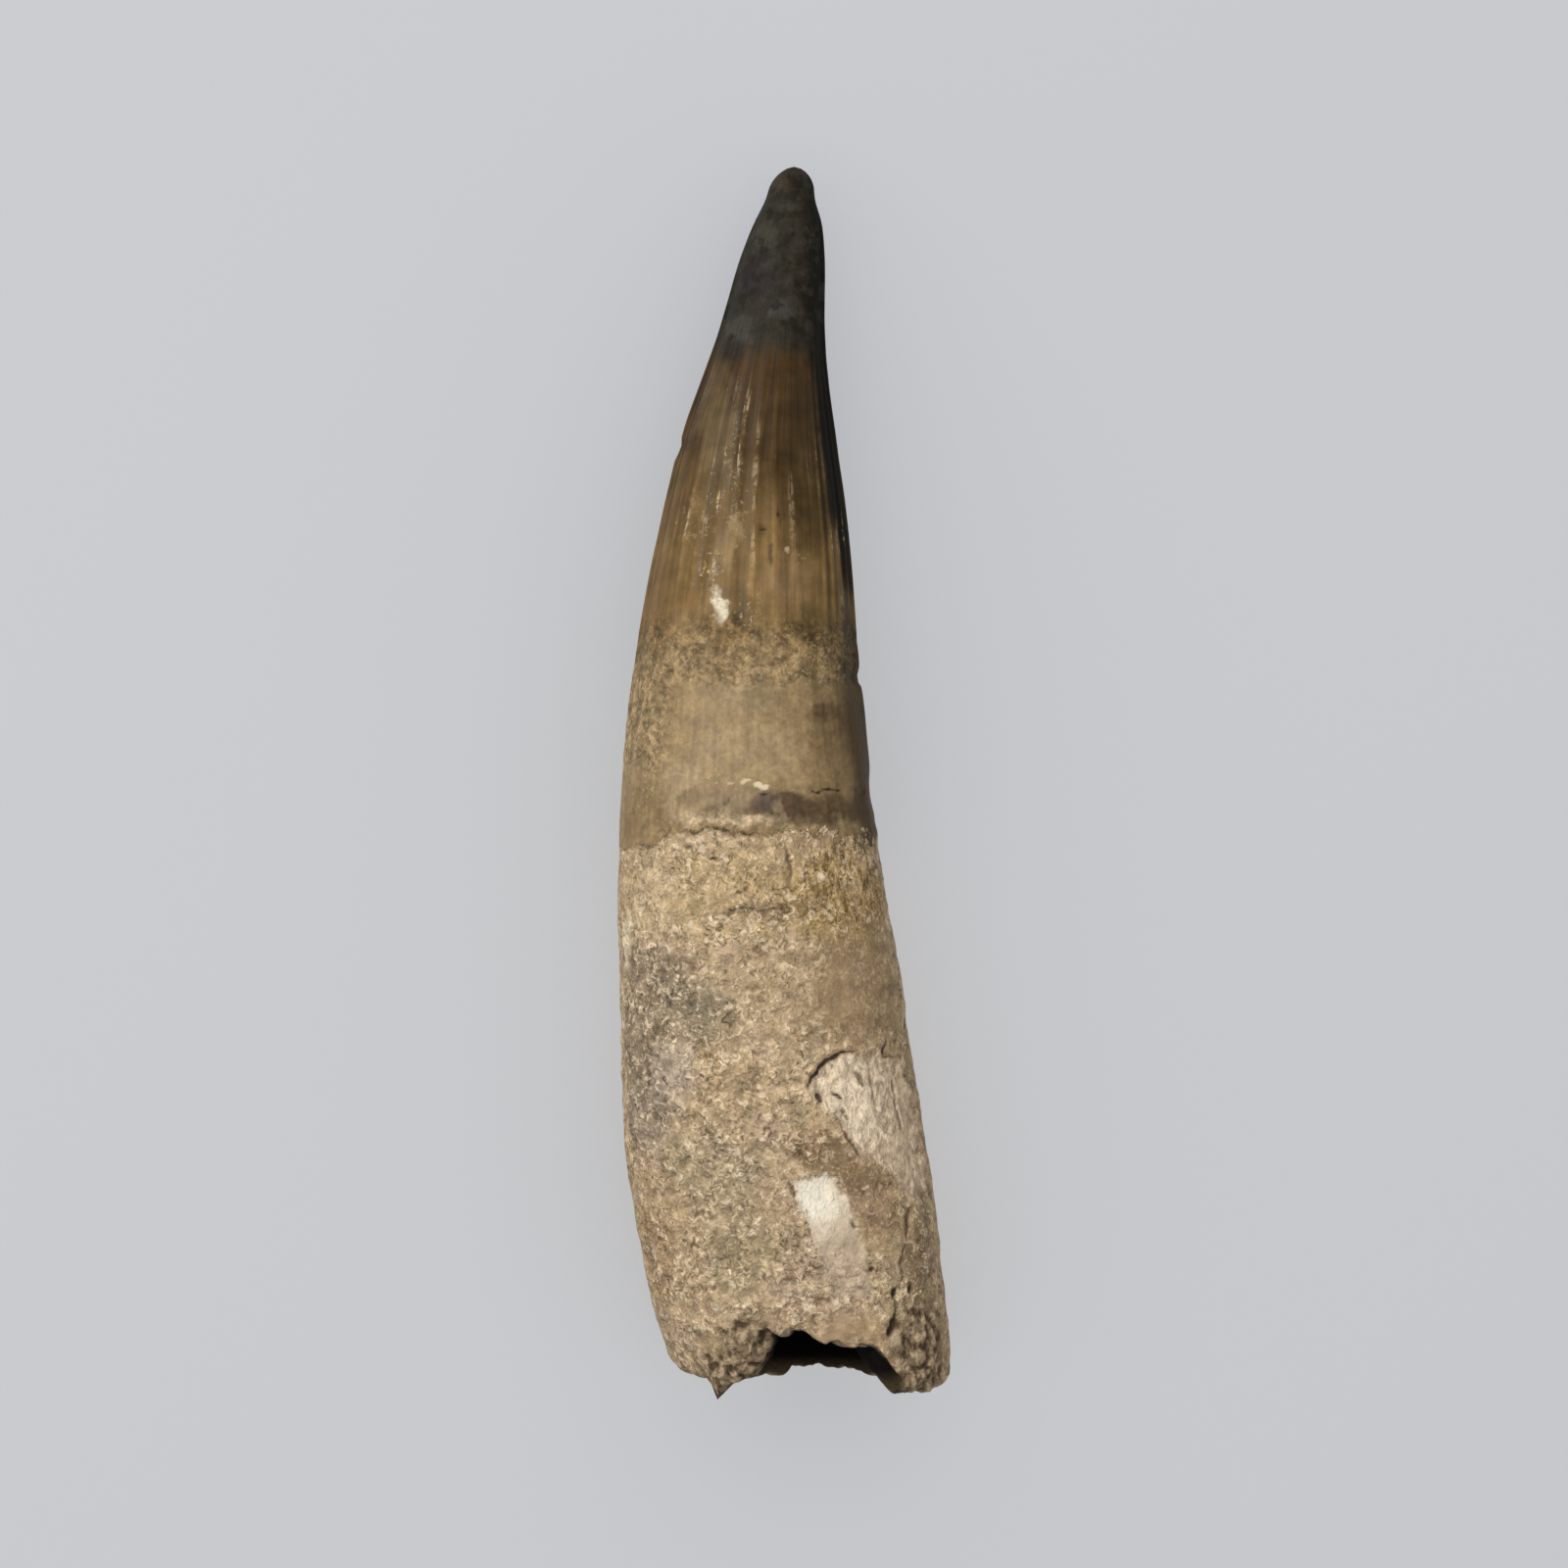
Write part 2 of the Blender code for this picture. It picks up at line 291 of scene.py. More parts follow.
@dataclass(frozen=True)
class Form:
    """The plain form of the tooth.

    A station is a depth, the left and the right edge there, the height, and how high its middle is.
    """

    stations: tuple[tuple[float, float, float, float, float], ...] = (
        (0.0, -1.2, 2.8, 3.1, 6.3),
        (3.1, -1.95, 2.85, 4.6, 6.6),
        (5.6, -3.0, 3.4, 5.9, 6.9),
        (8.9, -4.1, 3.5, 7.3, 7.3),
        (17.6, -6.7, 3.6, 10.5, 8.3),
        (26.2, -9.7, 4.6, 13.4, 9.1),
        (37.8, -12.5, 6.1, 16.9, 9.9),
        (49.4, -14.6, 7.0, 19.5, 10.3),
        (61.0, -16.1, 8.4, 20.9, 10.5),
        (72.5, -16.4, 9.9, 21.5, 10.7),
        (84.0, -16.2, 11.9, 22.0, 10.9),
        (97.5, -15.5, 13.9, 22.1, 10.8),
        (107.3, -14.0, 15.1, 21.7, 10.6),
        (116.0, -11.7, 16.3, 21.0, 10.5),
        (120.0, -9.6, 16.2, 20.2, 10.3),
    )
    tip_rounding: float = 2.4
    tip_bluntness: float = 0.58
    squareness: float = 0.2
    squared_from: Span = (50.0, 70.0)

    def station(self, measure: Measure, depth: Array) -> Array:
        """One measure of the stations, read at `depth`."""
        return curve_through(tuple((row[0], row[measure.value]) for row in self.stations), depth)

    def section(self, depth: Array) -> tuple[Array, Array, Array, Array]:
        """Gives the outer section at a depth.

        Args:
            depth: The depths to read.

        Returns:
            The middle's x and z, and half the width and the height.
        """
        left, right = self.station(Measure.LEFT, depth), self.station(Measure.RIGHT, depth)
        rounding = (1 - (1 - np.clip(depth / self.tip_rounding, 0, 1)) ** 2) ** self.tip_bluntness
        half_width = (right - left) / 2 * rounding
        half_height = self.station(Measure.HEIGHT, depth) / 2 * rounding
        return (left + right) / 2, self.station(Measure.MIDDLE, depth), half_width, half_height

    def outer_points(self, depth: Array, turn: Array) -> Array:
        """Gives points of the plain outer skin.

        Args:
            depth: The points' depths.
            turn: The points' turns.

        Returns:
            The points.
        """
        x, z, half_width, half_height = self.section(depth)
        power = 2 / (2 + self.squareness * smooth_step(*self.squared_from, depth))
        cos, sin = np.cos(np.radians(turn)), np.sin(np.radians(turn))
        across = x + half_width * np.sign(cos) * np.abs(cos) ** power
        up = z + half_height * np.sign(sin) * np.abs(sin) ** power
        return np.stack([across, -depth * np.ones_like(across), up], -1)


@dataclass(frozen=True)
class PulpCavity:
    """The hollow in the root, an oval cone that opens at the broken end."""

    top: float = 86.0
    mouth: float = 118.0
    half_width: float = 9.6
    half_height: float = 7.8
    flare: float = 0.55
    shift: tuple[float, float] = (0.2, 0.5)

    def points(self, form: Form, depth: Array, turn: Array) -> Array:
        """Gives points of the plain skin of the hollow.

        Args:
            form: The tooth's form, which the hollow follows.
            depth: The points' depths.
            turn: The points' turns.

        Returns:
            The points.
        """
        x, z, _, _ = form.section(depth)
        reach = np.clip((depth - self.top) / (self.mouth - self.top), 0, 1.2)
        size = reach**self.flare
        cos, sin = np.cos(np.radians(turn)), np.sin(np.radians(turn))
        across = x + self.shift[0] * reach + self.half_width * size * cos
        up = z + self.shift[1] * reach + self.half_height * size * sin
        return np.stack([across, -depth, up], -1)


@dataclass(frozen=True)
class BrokenRim:
    """The broken end of the root: how deep the wall reaches, a sliver left standing, crumbled bone.

    The place of a feature round the rim is a turn and half its width.
    """

    reach: Corners = (
        (0, 119.0),
        (32, 119.9),
        (50, 119.6),
        (58, 117.6),
        (63, 115.6),
        (74, 115.0),
        (84, 114.5),
        (95, 113.5),
        (106, 114.1),
        (112, 115.9),
        (119, 117.5),
        (132, 118.5),
        (150, 118.5),
        (180, 117.6),
        (205, 118.6),
        (228, 119.6),
        (248, 119.4),
        (262, 118.7),
        (276, 118.7),
        (300, 119.3),
        (325, 119.2),
    )
    sliver_place: Span = (138.6, 4.0)
    sliver_length: float = 2.6
    jag: float = 0.6
    rounding: float = 0.22
    crisp_places: tuple[tuple[float, Span], ...] = ((0.85, (80.0, 34.0)), (0.6, (138.6, 10.0)))
    thinnest_wall: float = 1.8
    thicker_beside: float = 2.8
    nodule_height: float = 0.45
    lobe_place: Span = (40.0, 21.0)
    lobe_rise: Span = (108.5, 113.5)
    crumbled_places: tuple[tuple[Span, Span], ...] = (
        ((112.0, 14.0), (111.6, 113.4)),
        ((130.0, 17.0), (115.4, 116.8)),
    )
    steep_place: Span = (57.0, 10.0)
    steep_share: float = 0.9

    def sliver(self, turn: Array) -> Array:
        """1 on the line of the sliver, 0 beside it."""
        middle, half_width = self.sliver_place
        return np.clip(1 - np.abs(turn_between(middle, turn)) / half_width, 0, 1) ** 2

    def wall(self, turn: Array) -> Array:
        """The wall's thickness: thick at the sides, thin above and below."""
        return self.thinnest_wall + self.thicker_beside * np.abs(np.cos(np.radians(turn)))

    def rounded(self, turn: Array) -> Array:
        """How far the edge is rounded over, less beside the notch and on the sliver."""
        crisp = sum(share * hump(*place, turn) for share, place in self.crisp_places)
        return self.rounding * self.wall(turn) * (1 - crisp)

    def depth(self, turn: Array) -> Array:
        """The depth that the jagged wall reaches, without the sliver."""
        place = places_round(turn, RING_RADIUS)
        crumbs = noise_at(place, 1.5, 31) + 0.6 * noise_at(place, 0.6, 32)
        return closed_curve(self.reach, turn) + self.jag * crumbs * (1 - self.sliver(turn))

    def lobe(self, skin: Skin) -> Array:
        """1 on the knobbly lobe at the right-hand side of the rim."""
        across = hump(*self.lobe_place, turn_between(0, skin.turn))
        return across * smooth_step(*self.lobe_rise, skin.depth + 2.5 * noise_at(skin.points, 3.0, 34))

    def crumbled(self, skin: Skin) -> Array:
        """1 where the edge beside the notch has crumbled."""
        places = self.crumbled_places
        parts = [hump(*place, skin.turn) * smooth_step(*rise, skin.depth) for place, rise in places]
        return np.maximum.reduce(parts)

    def steep_face_shadow(self, skin: Skin) -> Array:
        """Up to 0.9 on the steep broken face beside the lobe, which is painted as dark as the hollow: a
        painted shadow.
        """
        return self.steep_share * hump(*self.steep_place, skin.turn) * (skin.outside < 1)

    def relief(self, skin: Skin) -> Array:
        """Gives the knobs of the lobe and the crumbled edge beside the notch.

        Args:
            skin: The skin to carve.

        Returns:
            The relief, in millimetres.
        """
        knobs = np.abs(noise_at(skin.points, 1.9, 3)) * 1.5 + 0.9 * np.abs(noise_at(skin.points, 0.9, 35))
        pits = np.minimum(0, noise_at(skin.points, 1.0, 33) + 0.05)
        where = np.maximum(self.lobe(skin), self.crumbled(skin))
        return self.nodule_height * where * (knobs - 0.25 + 0.9 * pits)


@dataclass(frozen=True)
class Nick:
    """A nick in a cutting edge: where it is, half its length and how deep it cuts."""

    depth: float
    turn: float
    half_length: float
    cut: float
    half_turn: float = 9.0


@dataclass(frozen=True)
class Crown:
    """The enamel cap: flutes, two cutting edges, grainy places, nicks and the ragged lower edge.

    A pair of spans says where something rises to its full strength, and where it falls to none.
    """

    flutes: int = 32
    flute_height: float = 0.10
    fluted: tuple[Span, Span] = ((13.0, 25.0), (39.0, 48.0))
    edge_turns: tuple[float, float] = (8.0, 177.0)
    edge_height: float = 0.34
    edge_half_turn: float = 4.0
    edged: tuple[Span, Span] = ((3.0, 10.0), (52.0, 62.0))
    length: float = 65.8
    lower: Corners = (
        (0, 66.0),
        (20, 66.2),
        (40, 65.9),
        (60, 65.4),
        (75, 65.6),
        (90, 65.5),
        (105, 65.2),
        (118, 65.1),
        (126, 65.7),
        (134, 66.7),
        (150, 66.9),
        (180, 66.9),
        (200, 66.2),
        (230, 65.2),
        (262, 66.3),
        (290, 65.4),
        (320, 66.5),
        (345, 65.8),
    )
    step: float = 0.16
    groove: float = 0.04
    chip: float = 0.2
    chipped: tuple[Span, Span] = ((-4.3, -3.9), (-1.2, -0.5))
    chipped_turn: Span = (36.0, 36.0)
    grain: float = 0.06
    band_rise: Span = (43.8, 47.0)
    band_fall: Span = (50.2, 52.0)
    worn_turns: tuple[Span, Span] = ((124.0, 138.0), (176.0, 190.0))
    worn_from: Span = (45.0, 48.0)
    worn_to: Span = (58.0, 61.0)
    lowest_rise: Span = (-2.3, -1.3)
    lowest_turn: Span = (98.0, 34.0)
    sharp_turn: Span = (104.0, 26.0)
    worn_edge_turn: Span = (190.0, 50.0)
    rod_radius: float = 9.0
    nicks: tuple[Nick, ...] = (
        Nick(27.9, 176, 0.45, 0.25),
        Nick(50.4, 12, 0.7, 0.4),
        Nick(61.6, 2, 1.4, 0.45),
        Nick(84.8, 6, 1.2, 0.4),
    )

    def lower_edge(self, turn: Array) -> Array:
        """Gives the depth of the enamel's ragged lower edge.

        Args:
            turn: The turns to read.

        Returns:
            The depths.
        """
        place = places_round(turn, RING_RADIUS)
        ragged = 0.4 * noise_at(place, 1.6, 51) + 0.25 * noise_at(place, 0.6, 52)
        return closed_curve(self.lower, turn) + ragged

    def fluting(self, depth: Array) -> Array:
        """How strong the flutes are at a depth, from 0 to 1."""
        return stretch(*self.fluted, depth)

    def flute_crest(self, skin: Skin) -> Array:
        """The flutes' section, 0.6 on a crest and -0.4 in a groove, with flutes that sway and fade."""
        sway = noise_at(self.round_place(skin, 0.10), 3.0, 12)
        crest = (0.5 + 0.5 * np.cos(self.flutes * skin.flute_turn + 1.6 * sway)) ** 1.5 - 0.4
        uneven = np.clip(0.85 + 1.7 * noise_at(self.round_place(skin, 0.06), 1.7, 11), 0.1, 2.0)
        return crest * uneven

    def grainy(self, skin: Skin) -> Array:
        """1 where the enamel is worn and grainy: a band, the left side below it, the lowest edge."""
        drift = 1.8 * noise_at(skin.points, 3.0, 53) + 0.7 * noise_at(skin.points, 1.1, 56)
        above, below = skin.depth + drift, skin.depth + 0.35 * drift
        band = smooth_step(*self.band_rise, above) * (1 - smooth_step(*self.band_fall, below))
        left = stretch(*self.worn_turns, skin.turn)
        lower = smooth_step(*self.worn_from, skin.depth) * (1 - smooth_step(*self.worn_to, above))
        past = skin.depth - self.lower_edge(skin.turn) + 0.5 * drift
        lowest = 0.85 * smooth_step(*self.lowest_rise, past) * hump(*self.lowest_turn, skin.turn)
        return np.maximum.reduce([band, left * lower, lowest])

    def relief(self, skin: Skin) -> Array:
        """Gives the whole relief of the crown.

        Args:
            skin: The skin to carve.

        Returns:
            The relief, in millimetres.
        """
        depth, turn = skin.depth, skin.turn
        relief = self.flute_height * self.fluting(depth) * self.flute_crest(skin)
        relief = relief + self.grain * self.grainy(skin) * noise_at(skin.points, 0.85, 54)
        edged = stretch(*self.edged, depth)
        for edge_turn in self.edge_turns:
            beside = turn_between(edge_turn, turn)
            relief += self.edge_height * edged * hump(0, self.edge_half_turn, beside)
        past = depth - self.lower_edge(turn)
        sharp = hump(*self.sharp_turn, turn)
        drop = -self.step * smooth_step(-0.2, 1.5 - 1.2 * sharp, past) * (1 - smooth_step(1.5, 8, past))
        drop -= self.groove * sharp * hump(0.35, 0.4, past)
        worn_turn, worn_half_turn = self.worn_edge_turn
        worn_left = 1 - 0.6 * hump(0, worn_half_turn, turn_between(worn_turn, turn))
        right_side = hump(*self.chipped_turn, turn_between(0, turn))
        ragged = past + 0.5 * noise_at(skin.points, 1.3, 55)
        chipped = stretch(*self.chipped, ragged)
        relief += drop * worn_left - self.chip * chipped * right_side
        for nick in self.nicks:
            across = hump(0, nick.half_turn, turn_between(nick.turn, turn))
            relief -= nick.cut * hump(nick.depth, nick.half_length, depth) * across
        return relief

    def round_place(self, skin: Skin, lengthwise: float) -> Array:
        """Places on a plain rod, so that noise read there runs lengthwise and meets itself round it."""
        return places_round(skin.turn, self.rod_radius, skin.depth * lengthwise)


@dataclass(frozen=True)
class Root:
    """The root: uneven, grainy bone with a shallow trough underneath."""

    swell: float = 0.22
    grain: float = 0.14
    grown_from: Span = (60.0, 68.0)
    trough: float = 0.7
    trough_place: Span = (222.0, 15.0)
    trough_along: tuple[Span, Span] = ((70.0, 80.0), (112.0, 119.0))
    resting_place: Span = (270.0, 20.0)

    def relief(self, skin: Skin) -> Array:
        """Gives the trough under the root.

        Args:
            skin: The skin to carve.

        Returns:
            The relief, in millimetres.
        """
        middle, half_width = self.trough_place
        along = stretch(*self.trough_along, skin.depth)
        return -self.trough * along * hump(0, half_width, turn_between(middle, skin.turn))

    def roughness(self, skin: Skin) -> Array:
        """Gives the swells and grain of the whole tooth, strongest on the root.

        Args:
            skin: The skin to carve.

        Returns:
            The relief, in millimetres.
        """
        root = smooth_step(*self.grown_from, skin.depth)
        swell = noise_at(skin.points, 11, 1) * (0.12 + self.swell * root)
        grain = noise_at(skin.points, 2.6, 2) * (0.03 + self.grain * root)
        fine = noise_at(skin.points, 1.0, 21) * 0.09 * root
        middle, half_width = self.resting_place
        resting = hump(0, half_width, turn_between(middle, skin.turn))
        return (swell + grain + fine) * (0.35 + 0.65 * skin.outside) * (1 - 0.55 * resting)


@dataclass(frozen=True)
class Scar:
    """A place on the upper side of the root where the surface has flaked off."""

    corners: Corners
    cut: float = 0.3
    lumps: float = 0.18
    far_outside: float = -9.0

    def inside(self, skin: Skin) -> Array:
        """How far inside the scar each point is, in millimetres, below 0 outside."""
        distance = distance_inside(self.corners, skin.x, skin.depth)
        return np.where(skin.upper > 0, distance, self.far_outside)

    def relief(self, skin: Skin) -> Array:
        """The flaked-off layer and the lumps that it left, in millimetres."""
        ragged = self.inside(skin) + 0.6 * noise_at(skin.points, 1.6, 41)
        flaked = smooth_step(-0.3, 0.5, ragged)
        lumps = np.abs(noise_at(skin.points, 1.8, 42)) + 0.35 * noise_at(skin.points, 0.8, 43)
        return flaked * (self.lumps * lumps - self.cut)


@dataclass(frozen=True)
class Stroke:
    """A crack, or a raised line, in the upper side of the tooth. It narrows to its ends."""

    route: Corners
    half_width: float = 0.28
    rise: float = -0.4

    def measure(self, x: Array, depth: Array) -> tuple[Array, Array]:
        """Measures the stroke at each place.

        Args:
            x: The places' x.
            depth: The places' depths.

        Returns:
            The distance from its middle, and its half width there.
        """
        distance, share = distance_to_line(self.route, x, depth)
        return distance, self.half_width * np.maximum(0.15, 1 - np.abs(2 * share - 1) ** 3)

    def outside(self, x: Array, depth: Array) -> Array:
        """How far outside the stroke each place is, in millimetres, below 0 in it."""
        distance, half_width = self.measure(x, depth)
        return distance - half_width

    def relief(self, x: Array, depth: Array) -> Array:
        """The stroke's groove or ridge, in millimetres."""
        distance, half_width = self.measure(x, depth)
        return self.rise * hump(0, 1.1 * half_width + 0.06, distance)


@dataclass
class Tooth:
    """The whole tooth, crown and root in one piece.

    A ring span is the first and the last nominal depth of some rings, and how many there are.
    """

    name: str = "tooth_skin"
    form: Form = Form()
    cavity: PulpCavity = PulpCavity()
    rim: BrokenRim = BrokenRim()
    crown: Crown = Crown()
    root: Root = Root()
    upper_scar: Scar = Scar(
        (
            (2.0, 89.9),
            (3.5, 87.8),
            (5.7, 86.7),
            (8.4, 86.9),
            (9.4, 87.4),
            (11.3, 87.5),
            (12.3, 90.5),
            (12.8, 94.5),
            (13.6, 99.5),
            (13.4, 101.5),
            (12.1, 101.1),
            (10.7, 99.2),
            (9.7, 97.8),
            (8.1, 97.0),
            (6.9, 96.6),
            (5.8, 94.7),
            (5.1, 93.1),
            (3.9, 92.2),
            (2.7, 91.0),
        )
    )
    lower_scar: Scar = Scar(
        (
            (0.5, 99.3),
            (2.6, 98.6),
            (4.7, 98.7),
            (6.0, 101.6),
            (7.0, 104.0),
            (8.0, 107.6),
            (8.5, 110.4),
            (5.4, 111.0),
            (3.4, 107.6),
            (2.8, 105.0),
            (2.0, 103.0),
            (1.1, 101.3),
        ),
        cut=0.22,
        lumps=0.12,
    )
    cracks: tuple[Stroke, ...] = (
        Stroke(
            ((1.9, 90.0), (2.8, 89.0), (3.3, 88.2), (3.9, 87.5), (4.8, 87.2), (5.6, 86.7), (6.6, 86.7)),
            0.17,
            -0.4,
        ),
        Stroke(((9.8, 85.8), (9.6, 86.4), (9.4, 87.2)), 0.07, -0.2),
        Stroke(((4.2, 90.5), (4.9, 90.8), (5.5, 91.3)), 0.17, -0.35),
        Stroke(((3.0, 90.6), (3.2, 91.1), (3.3, 91.5)), 0.22, -0.35),
        Stroke(((2.3, 61.4), (3.2, 61.6), (4.4, 61.45), (5.6, 61.6)), 0.15, -0.3),
        Stroke(((-3.3, 61.95), (-2.3, 62.05), (-1.4, 61.95)), 0.11, -0.2),
        Stroke(((-2.3, 31.3), (-0.9, 31.1), (0.4, 31.2), (1.4, 31.1)), 0.08, -0.05),
        Stroke(((-3.6, 36.9), (-2.3, 36.3), (-1.3, 36.0), (-0.5, 35.3), (-0.9, 34.5)), 0.1, -0.08),
        Stroke(((-7.5, 68.1), (-6.8, 67.9)), 0.12, -0.15),
        Stroke(((8.1, 107.9), (8.5, 107.6)), 0.2, -0.3),
        Stroke(((10.7, 109.6), (10.4, 110.4)), 0.26, -0.4),
        Stroke(((12.2, 109.3), (12.1, 110.2)), 0.2, -0.35),
        Stroke(((10.7, 112.2), (10.3, 113.4), (9.8, 114.2)), 0.24, -0.4),
    )
    scratches: tuple[Stroke, ...] = (
        Stroke(((9.4, 87.4), (10.5, 87.3), (11.6, 87.5)), 0.1, -0.2),
        Stroke(((6.7, 61.4), (7.3, 61.7), (7.9, 61.6)), 0.1, -0.2),
        Stroke(((-6.0, 63.2), (-5.6, 62.6), (-5.5, 62.2)), 0.1, -0.12),
        Stroke(((-2.8, 25.2), (-2.2, 25.0), (-1.6, 25.1)), 0.16, -0.06),
        Stroke(((-0.9, 25.0), (-0.2, 25.2)), 0.16, -0.06),
        Stroke(((-2.9, 28.4), (-2.5, 28.0)), 0.25, -0.06),
        Stroke(((-1.6, 40.0), (-1.4, 37.4)), 0.12, -0.05),
        Stroke(((2.1, 54.1), (2.9, 53.9), (3.4, 54.3), (4.4, 54.2)), 0.16, -0.08),
        Stroke(((3.8, 53.1), (3.9, 54.9)), 0.12, -0.08),
        Stroke(((6.0, 50.3), (6.8, 50.7), (7.6, 50.5)), 0.22, -0.25),
        Stroke(
            ((-5.7, 73.7), (-4.9, 72.9), (-3.9, 72.8), (-2.4, 73.1), (-0.6, 72.9), (0.7, 73.2)),
            0.09,
            -0.12,
        ),
        Stroke(((-0.1, 66.9), (0.2, 68.0), (0.5, 69.4), (0.2, 70.4)), 0.13, -0.18),
        Stroke(((11.5, 105.4), (11.2, 107.4), (11.4, 108.6), (10.9, 109.6)), 0.1, -0.14),
        Stroke(((10.5, 110.4), (10.9, 111.4), (10.6, 112.4)), 0.14, -0.2),
        Stroke(((-10.4, 28.5), (-9.8, 27.9), (-9.1, 27.5)), 0.15, -0.12),
        Stroke(((0.3, 99.3), (0.6, 100.2), (1.0, 101.0)), 0.16, -0.25),
        Stroke(((1.7, 103.0), (2.2, 103.3), (2.3, 104.3)), 0.12, -0.2),
        Stroke(((6.4, 103.0), (6.6, 103.6), (7.3, 103.5)), 0.12, -0.2),
        Stroke(((5.1, 93.4), (6.0, 95.2), (7.2, 96.9)), 0.1, -0.15),
        Stroke(((6.7, 88.5), (7.2, 89.2), (7.6, 90.0)), 0.18, -0.3),
        Stroke(((5.4, 91.9), (5.7, 92.8), (6.2, 93.4)), 0.16, -0.25),
        Stroke(((8.2, 88.4), (8.4, 90.2), (8.9, 92.6)), 0.08, -0.15),
        Stroke(((10.6, 89.5), (10.9, 92.0), (11.4, 94.6)), 0.08, -0.15),
        Stroke(((-0.9, 62.1), (0.4, 61.7), (1.4, 61.5), (2.4, 61.4)), 0.11, -0.2),
        Stroke(((11.8, 101.9), (11.6, 103.2), (11.7, 104.9)), 0.12, -0.25),
        Stroke(((4.6, 46.8), (5.6, 47.2), (6.8, 47.0)), 0.1, -0.08),
        Stroke(((-9.0, 40.6), (-7.6, 41.2), (-6.9, 42.4)), 0.1, -0.06),
    )
    ridges: tuple[Stroke, ...] = (
        Stroke(((-2.0, 66.0), (-1.4, 67.4), (-0.6, 68.6), (-0.2, 70.6)), 0.4, 0.28),
        Stroke(((-3.4, 70.4), (-3.0, 71.2), (-2.2, 72.0)), 0.3, 0.2),
        Stroke(((-9.6, 66.5), (-8.2, 66.2), (-7.0, 66.7)), 0.28, 0.2),
        Stroke(((0.6, 72.0), (1.6, 71.3), (2.2, 70.2)), 0.5, 0.22),
        Stroke(((-1.0, 91.2), (0.5, 90.3), (1.6, 90.5)), 0.4, 0.22),
    )
    ring_spans: tuple[tuple[float, float, int], ...] = (
        (0.2, 3.8, 12),
        (4.5, 44.0, 52),
        (44.5, 64.2, 44),
        (64.5, 67.3, 13),
        (67.55, 118.0, 172),
    )
    columns: int = 300
    crowding: float = 0.34
    cap_rings: int = 10
    cavity_rings: int = 18
    edge_reach: float = 5.0
    rim_from: float = 92.0
    sliver_from: float = 114.0

    def plain_skin(self) -> Skin:
        """Lays out the grid on the plain form: down the outside, over the rim and up the hollow.

        Returns:
            The plain skin.
        """
        even = np.arange(self.columns) * 2 * math.pi / self.columns
        flute_turn = even + self.crowding * np.cos(even)
        uneven = 0.05 * np.sin(3 * flute_turn + 1.0) + 0.03 * np.sin(5 * flute_turn)
        turn = np.degrees(flute_turn + uneven)
        sliver = self.rim.sliver(turn)
        rounding = self.rim.rounded(turn)
        rim = self.rim.depth(turn) - rounding
        outer_rim = rim + (self.rim.sliver_length + rounding) * sliver
        mouth = self.cavity.mouth
        edge = self.crown.lower_edge(turn) - self.crown.length
        rows = []
        for nominal in np.concatenate([np.linspace(*span) for span in self.ring_spans]):
            depth = nominal + edge * hump(self.crown.length, self.edge_reach, nominal)
            depth = depth + (rim - mouth) * smooth_step(self.rim_from, mouth, nominal)
            depth = depth + (outer_rim - rim) * smooth_step(self.sliver_from, mouth, nominal)
            rows.append((self.form.outer_points(depth, turn), depth, 1.0))
        outer, inner = rows[-1][0], self.cavity.points(self.form, rim, turn)
        for bend in np.arange(1, self.cap_rings + 1) * math.pi / (self.cap_rings + 1):
            share = 0.5 + 0.5 * math.cos(bend)
            points = inner + (outer - inner) * (share ** (1 + 0.7 * sliver))[:, None]
            points[:, 1] -= rounding * math.sin(bend) * (1 - sliver)
            rows.append((points, rim, share))
        for share in np.linspace(1, 0.03, self.cavity_rings):
            depth = self.cavity.top + (rim - self.cavity.top) * share
            rows.append((self.cavity.points(self.form, depth, turn), depth, 0.0))
        grid = (len(rows), self.columns)
        return Skin(
            np.stack([row[0] for row in rows]),
            np.stack([np.broadcast_to(row[1], turn.shape) for row in rows]),
            np.broadcast_to(turn % 360, grid),
            np.broadcast_to(flute_turn, grid),
            np.stack([np.full(turn.shape, row[2]) for row in rows]),
        )

    def shaken(self, skin: Skin) -> tuple[Array, Array]:
        """Shakes the points' places so that strokes aren't straight, and keeps strokes off the under side.

        Args:
            skin: The plain skin.

        Returns:
            The points' x and depth.
        """
        wander = 0.24 * noise_at(skin.points, 0.9, 44)
        far_off = 99 * (skin.upper == 0)
        return skin.x + wander + far_off, skin.depth + wander

    def relief(self, skin: Skin) -> Array:
        """Adds up the relief of every part of the tooth.

        Args:
            skin: The plain skin.

        Returns:
            The relief, in millimetres.
        """
        outer = self.crown.relief(skin) + self.root.relief(skin)
        outer = outer + self.upper_scar.relief(skin) + self.lower_scar.relief(skin)
        x, depth = self.shaken(skin)
        for stroke in self.cracks + self.scratches + self.ridges:
            outer = outer + stroke.relief(x, depth)
        broken = self.rim.relief(skin) * smooth_step(0.0, 0.5, skin.outside)
        carved = outer * skin.outside**2 + broken + self.root.roughness(skin)
        return carved * smooth_step(0, 3, skin.depth)

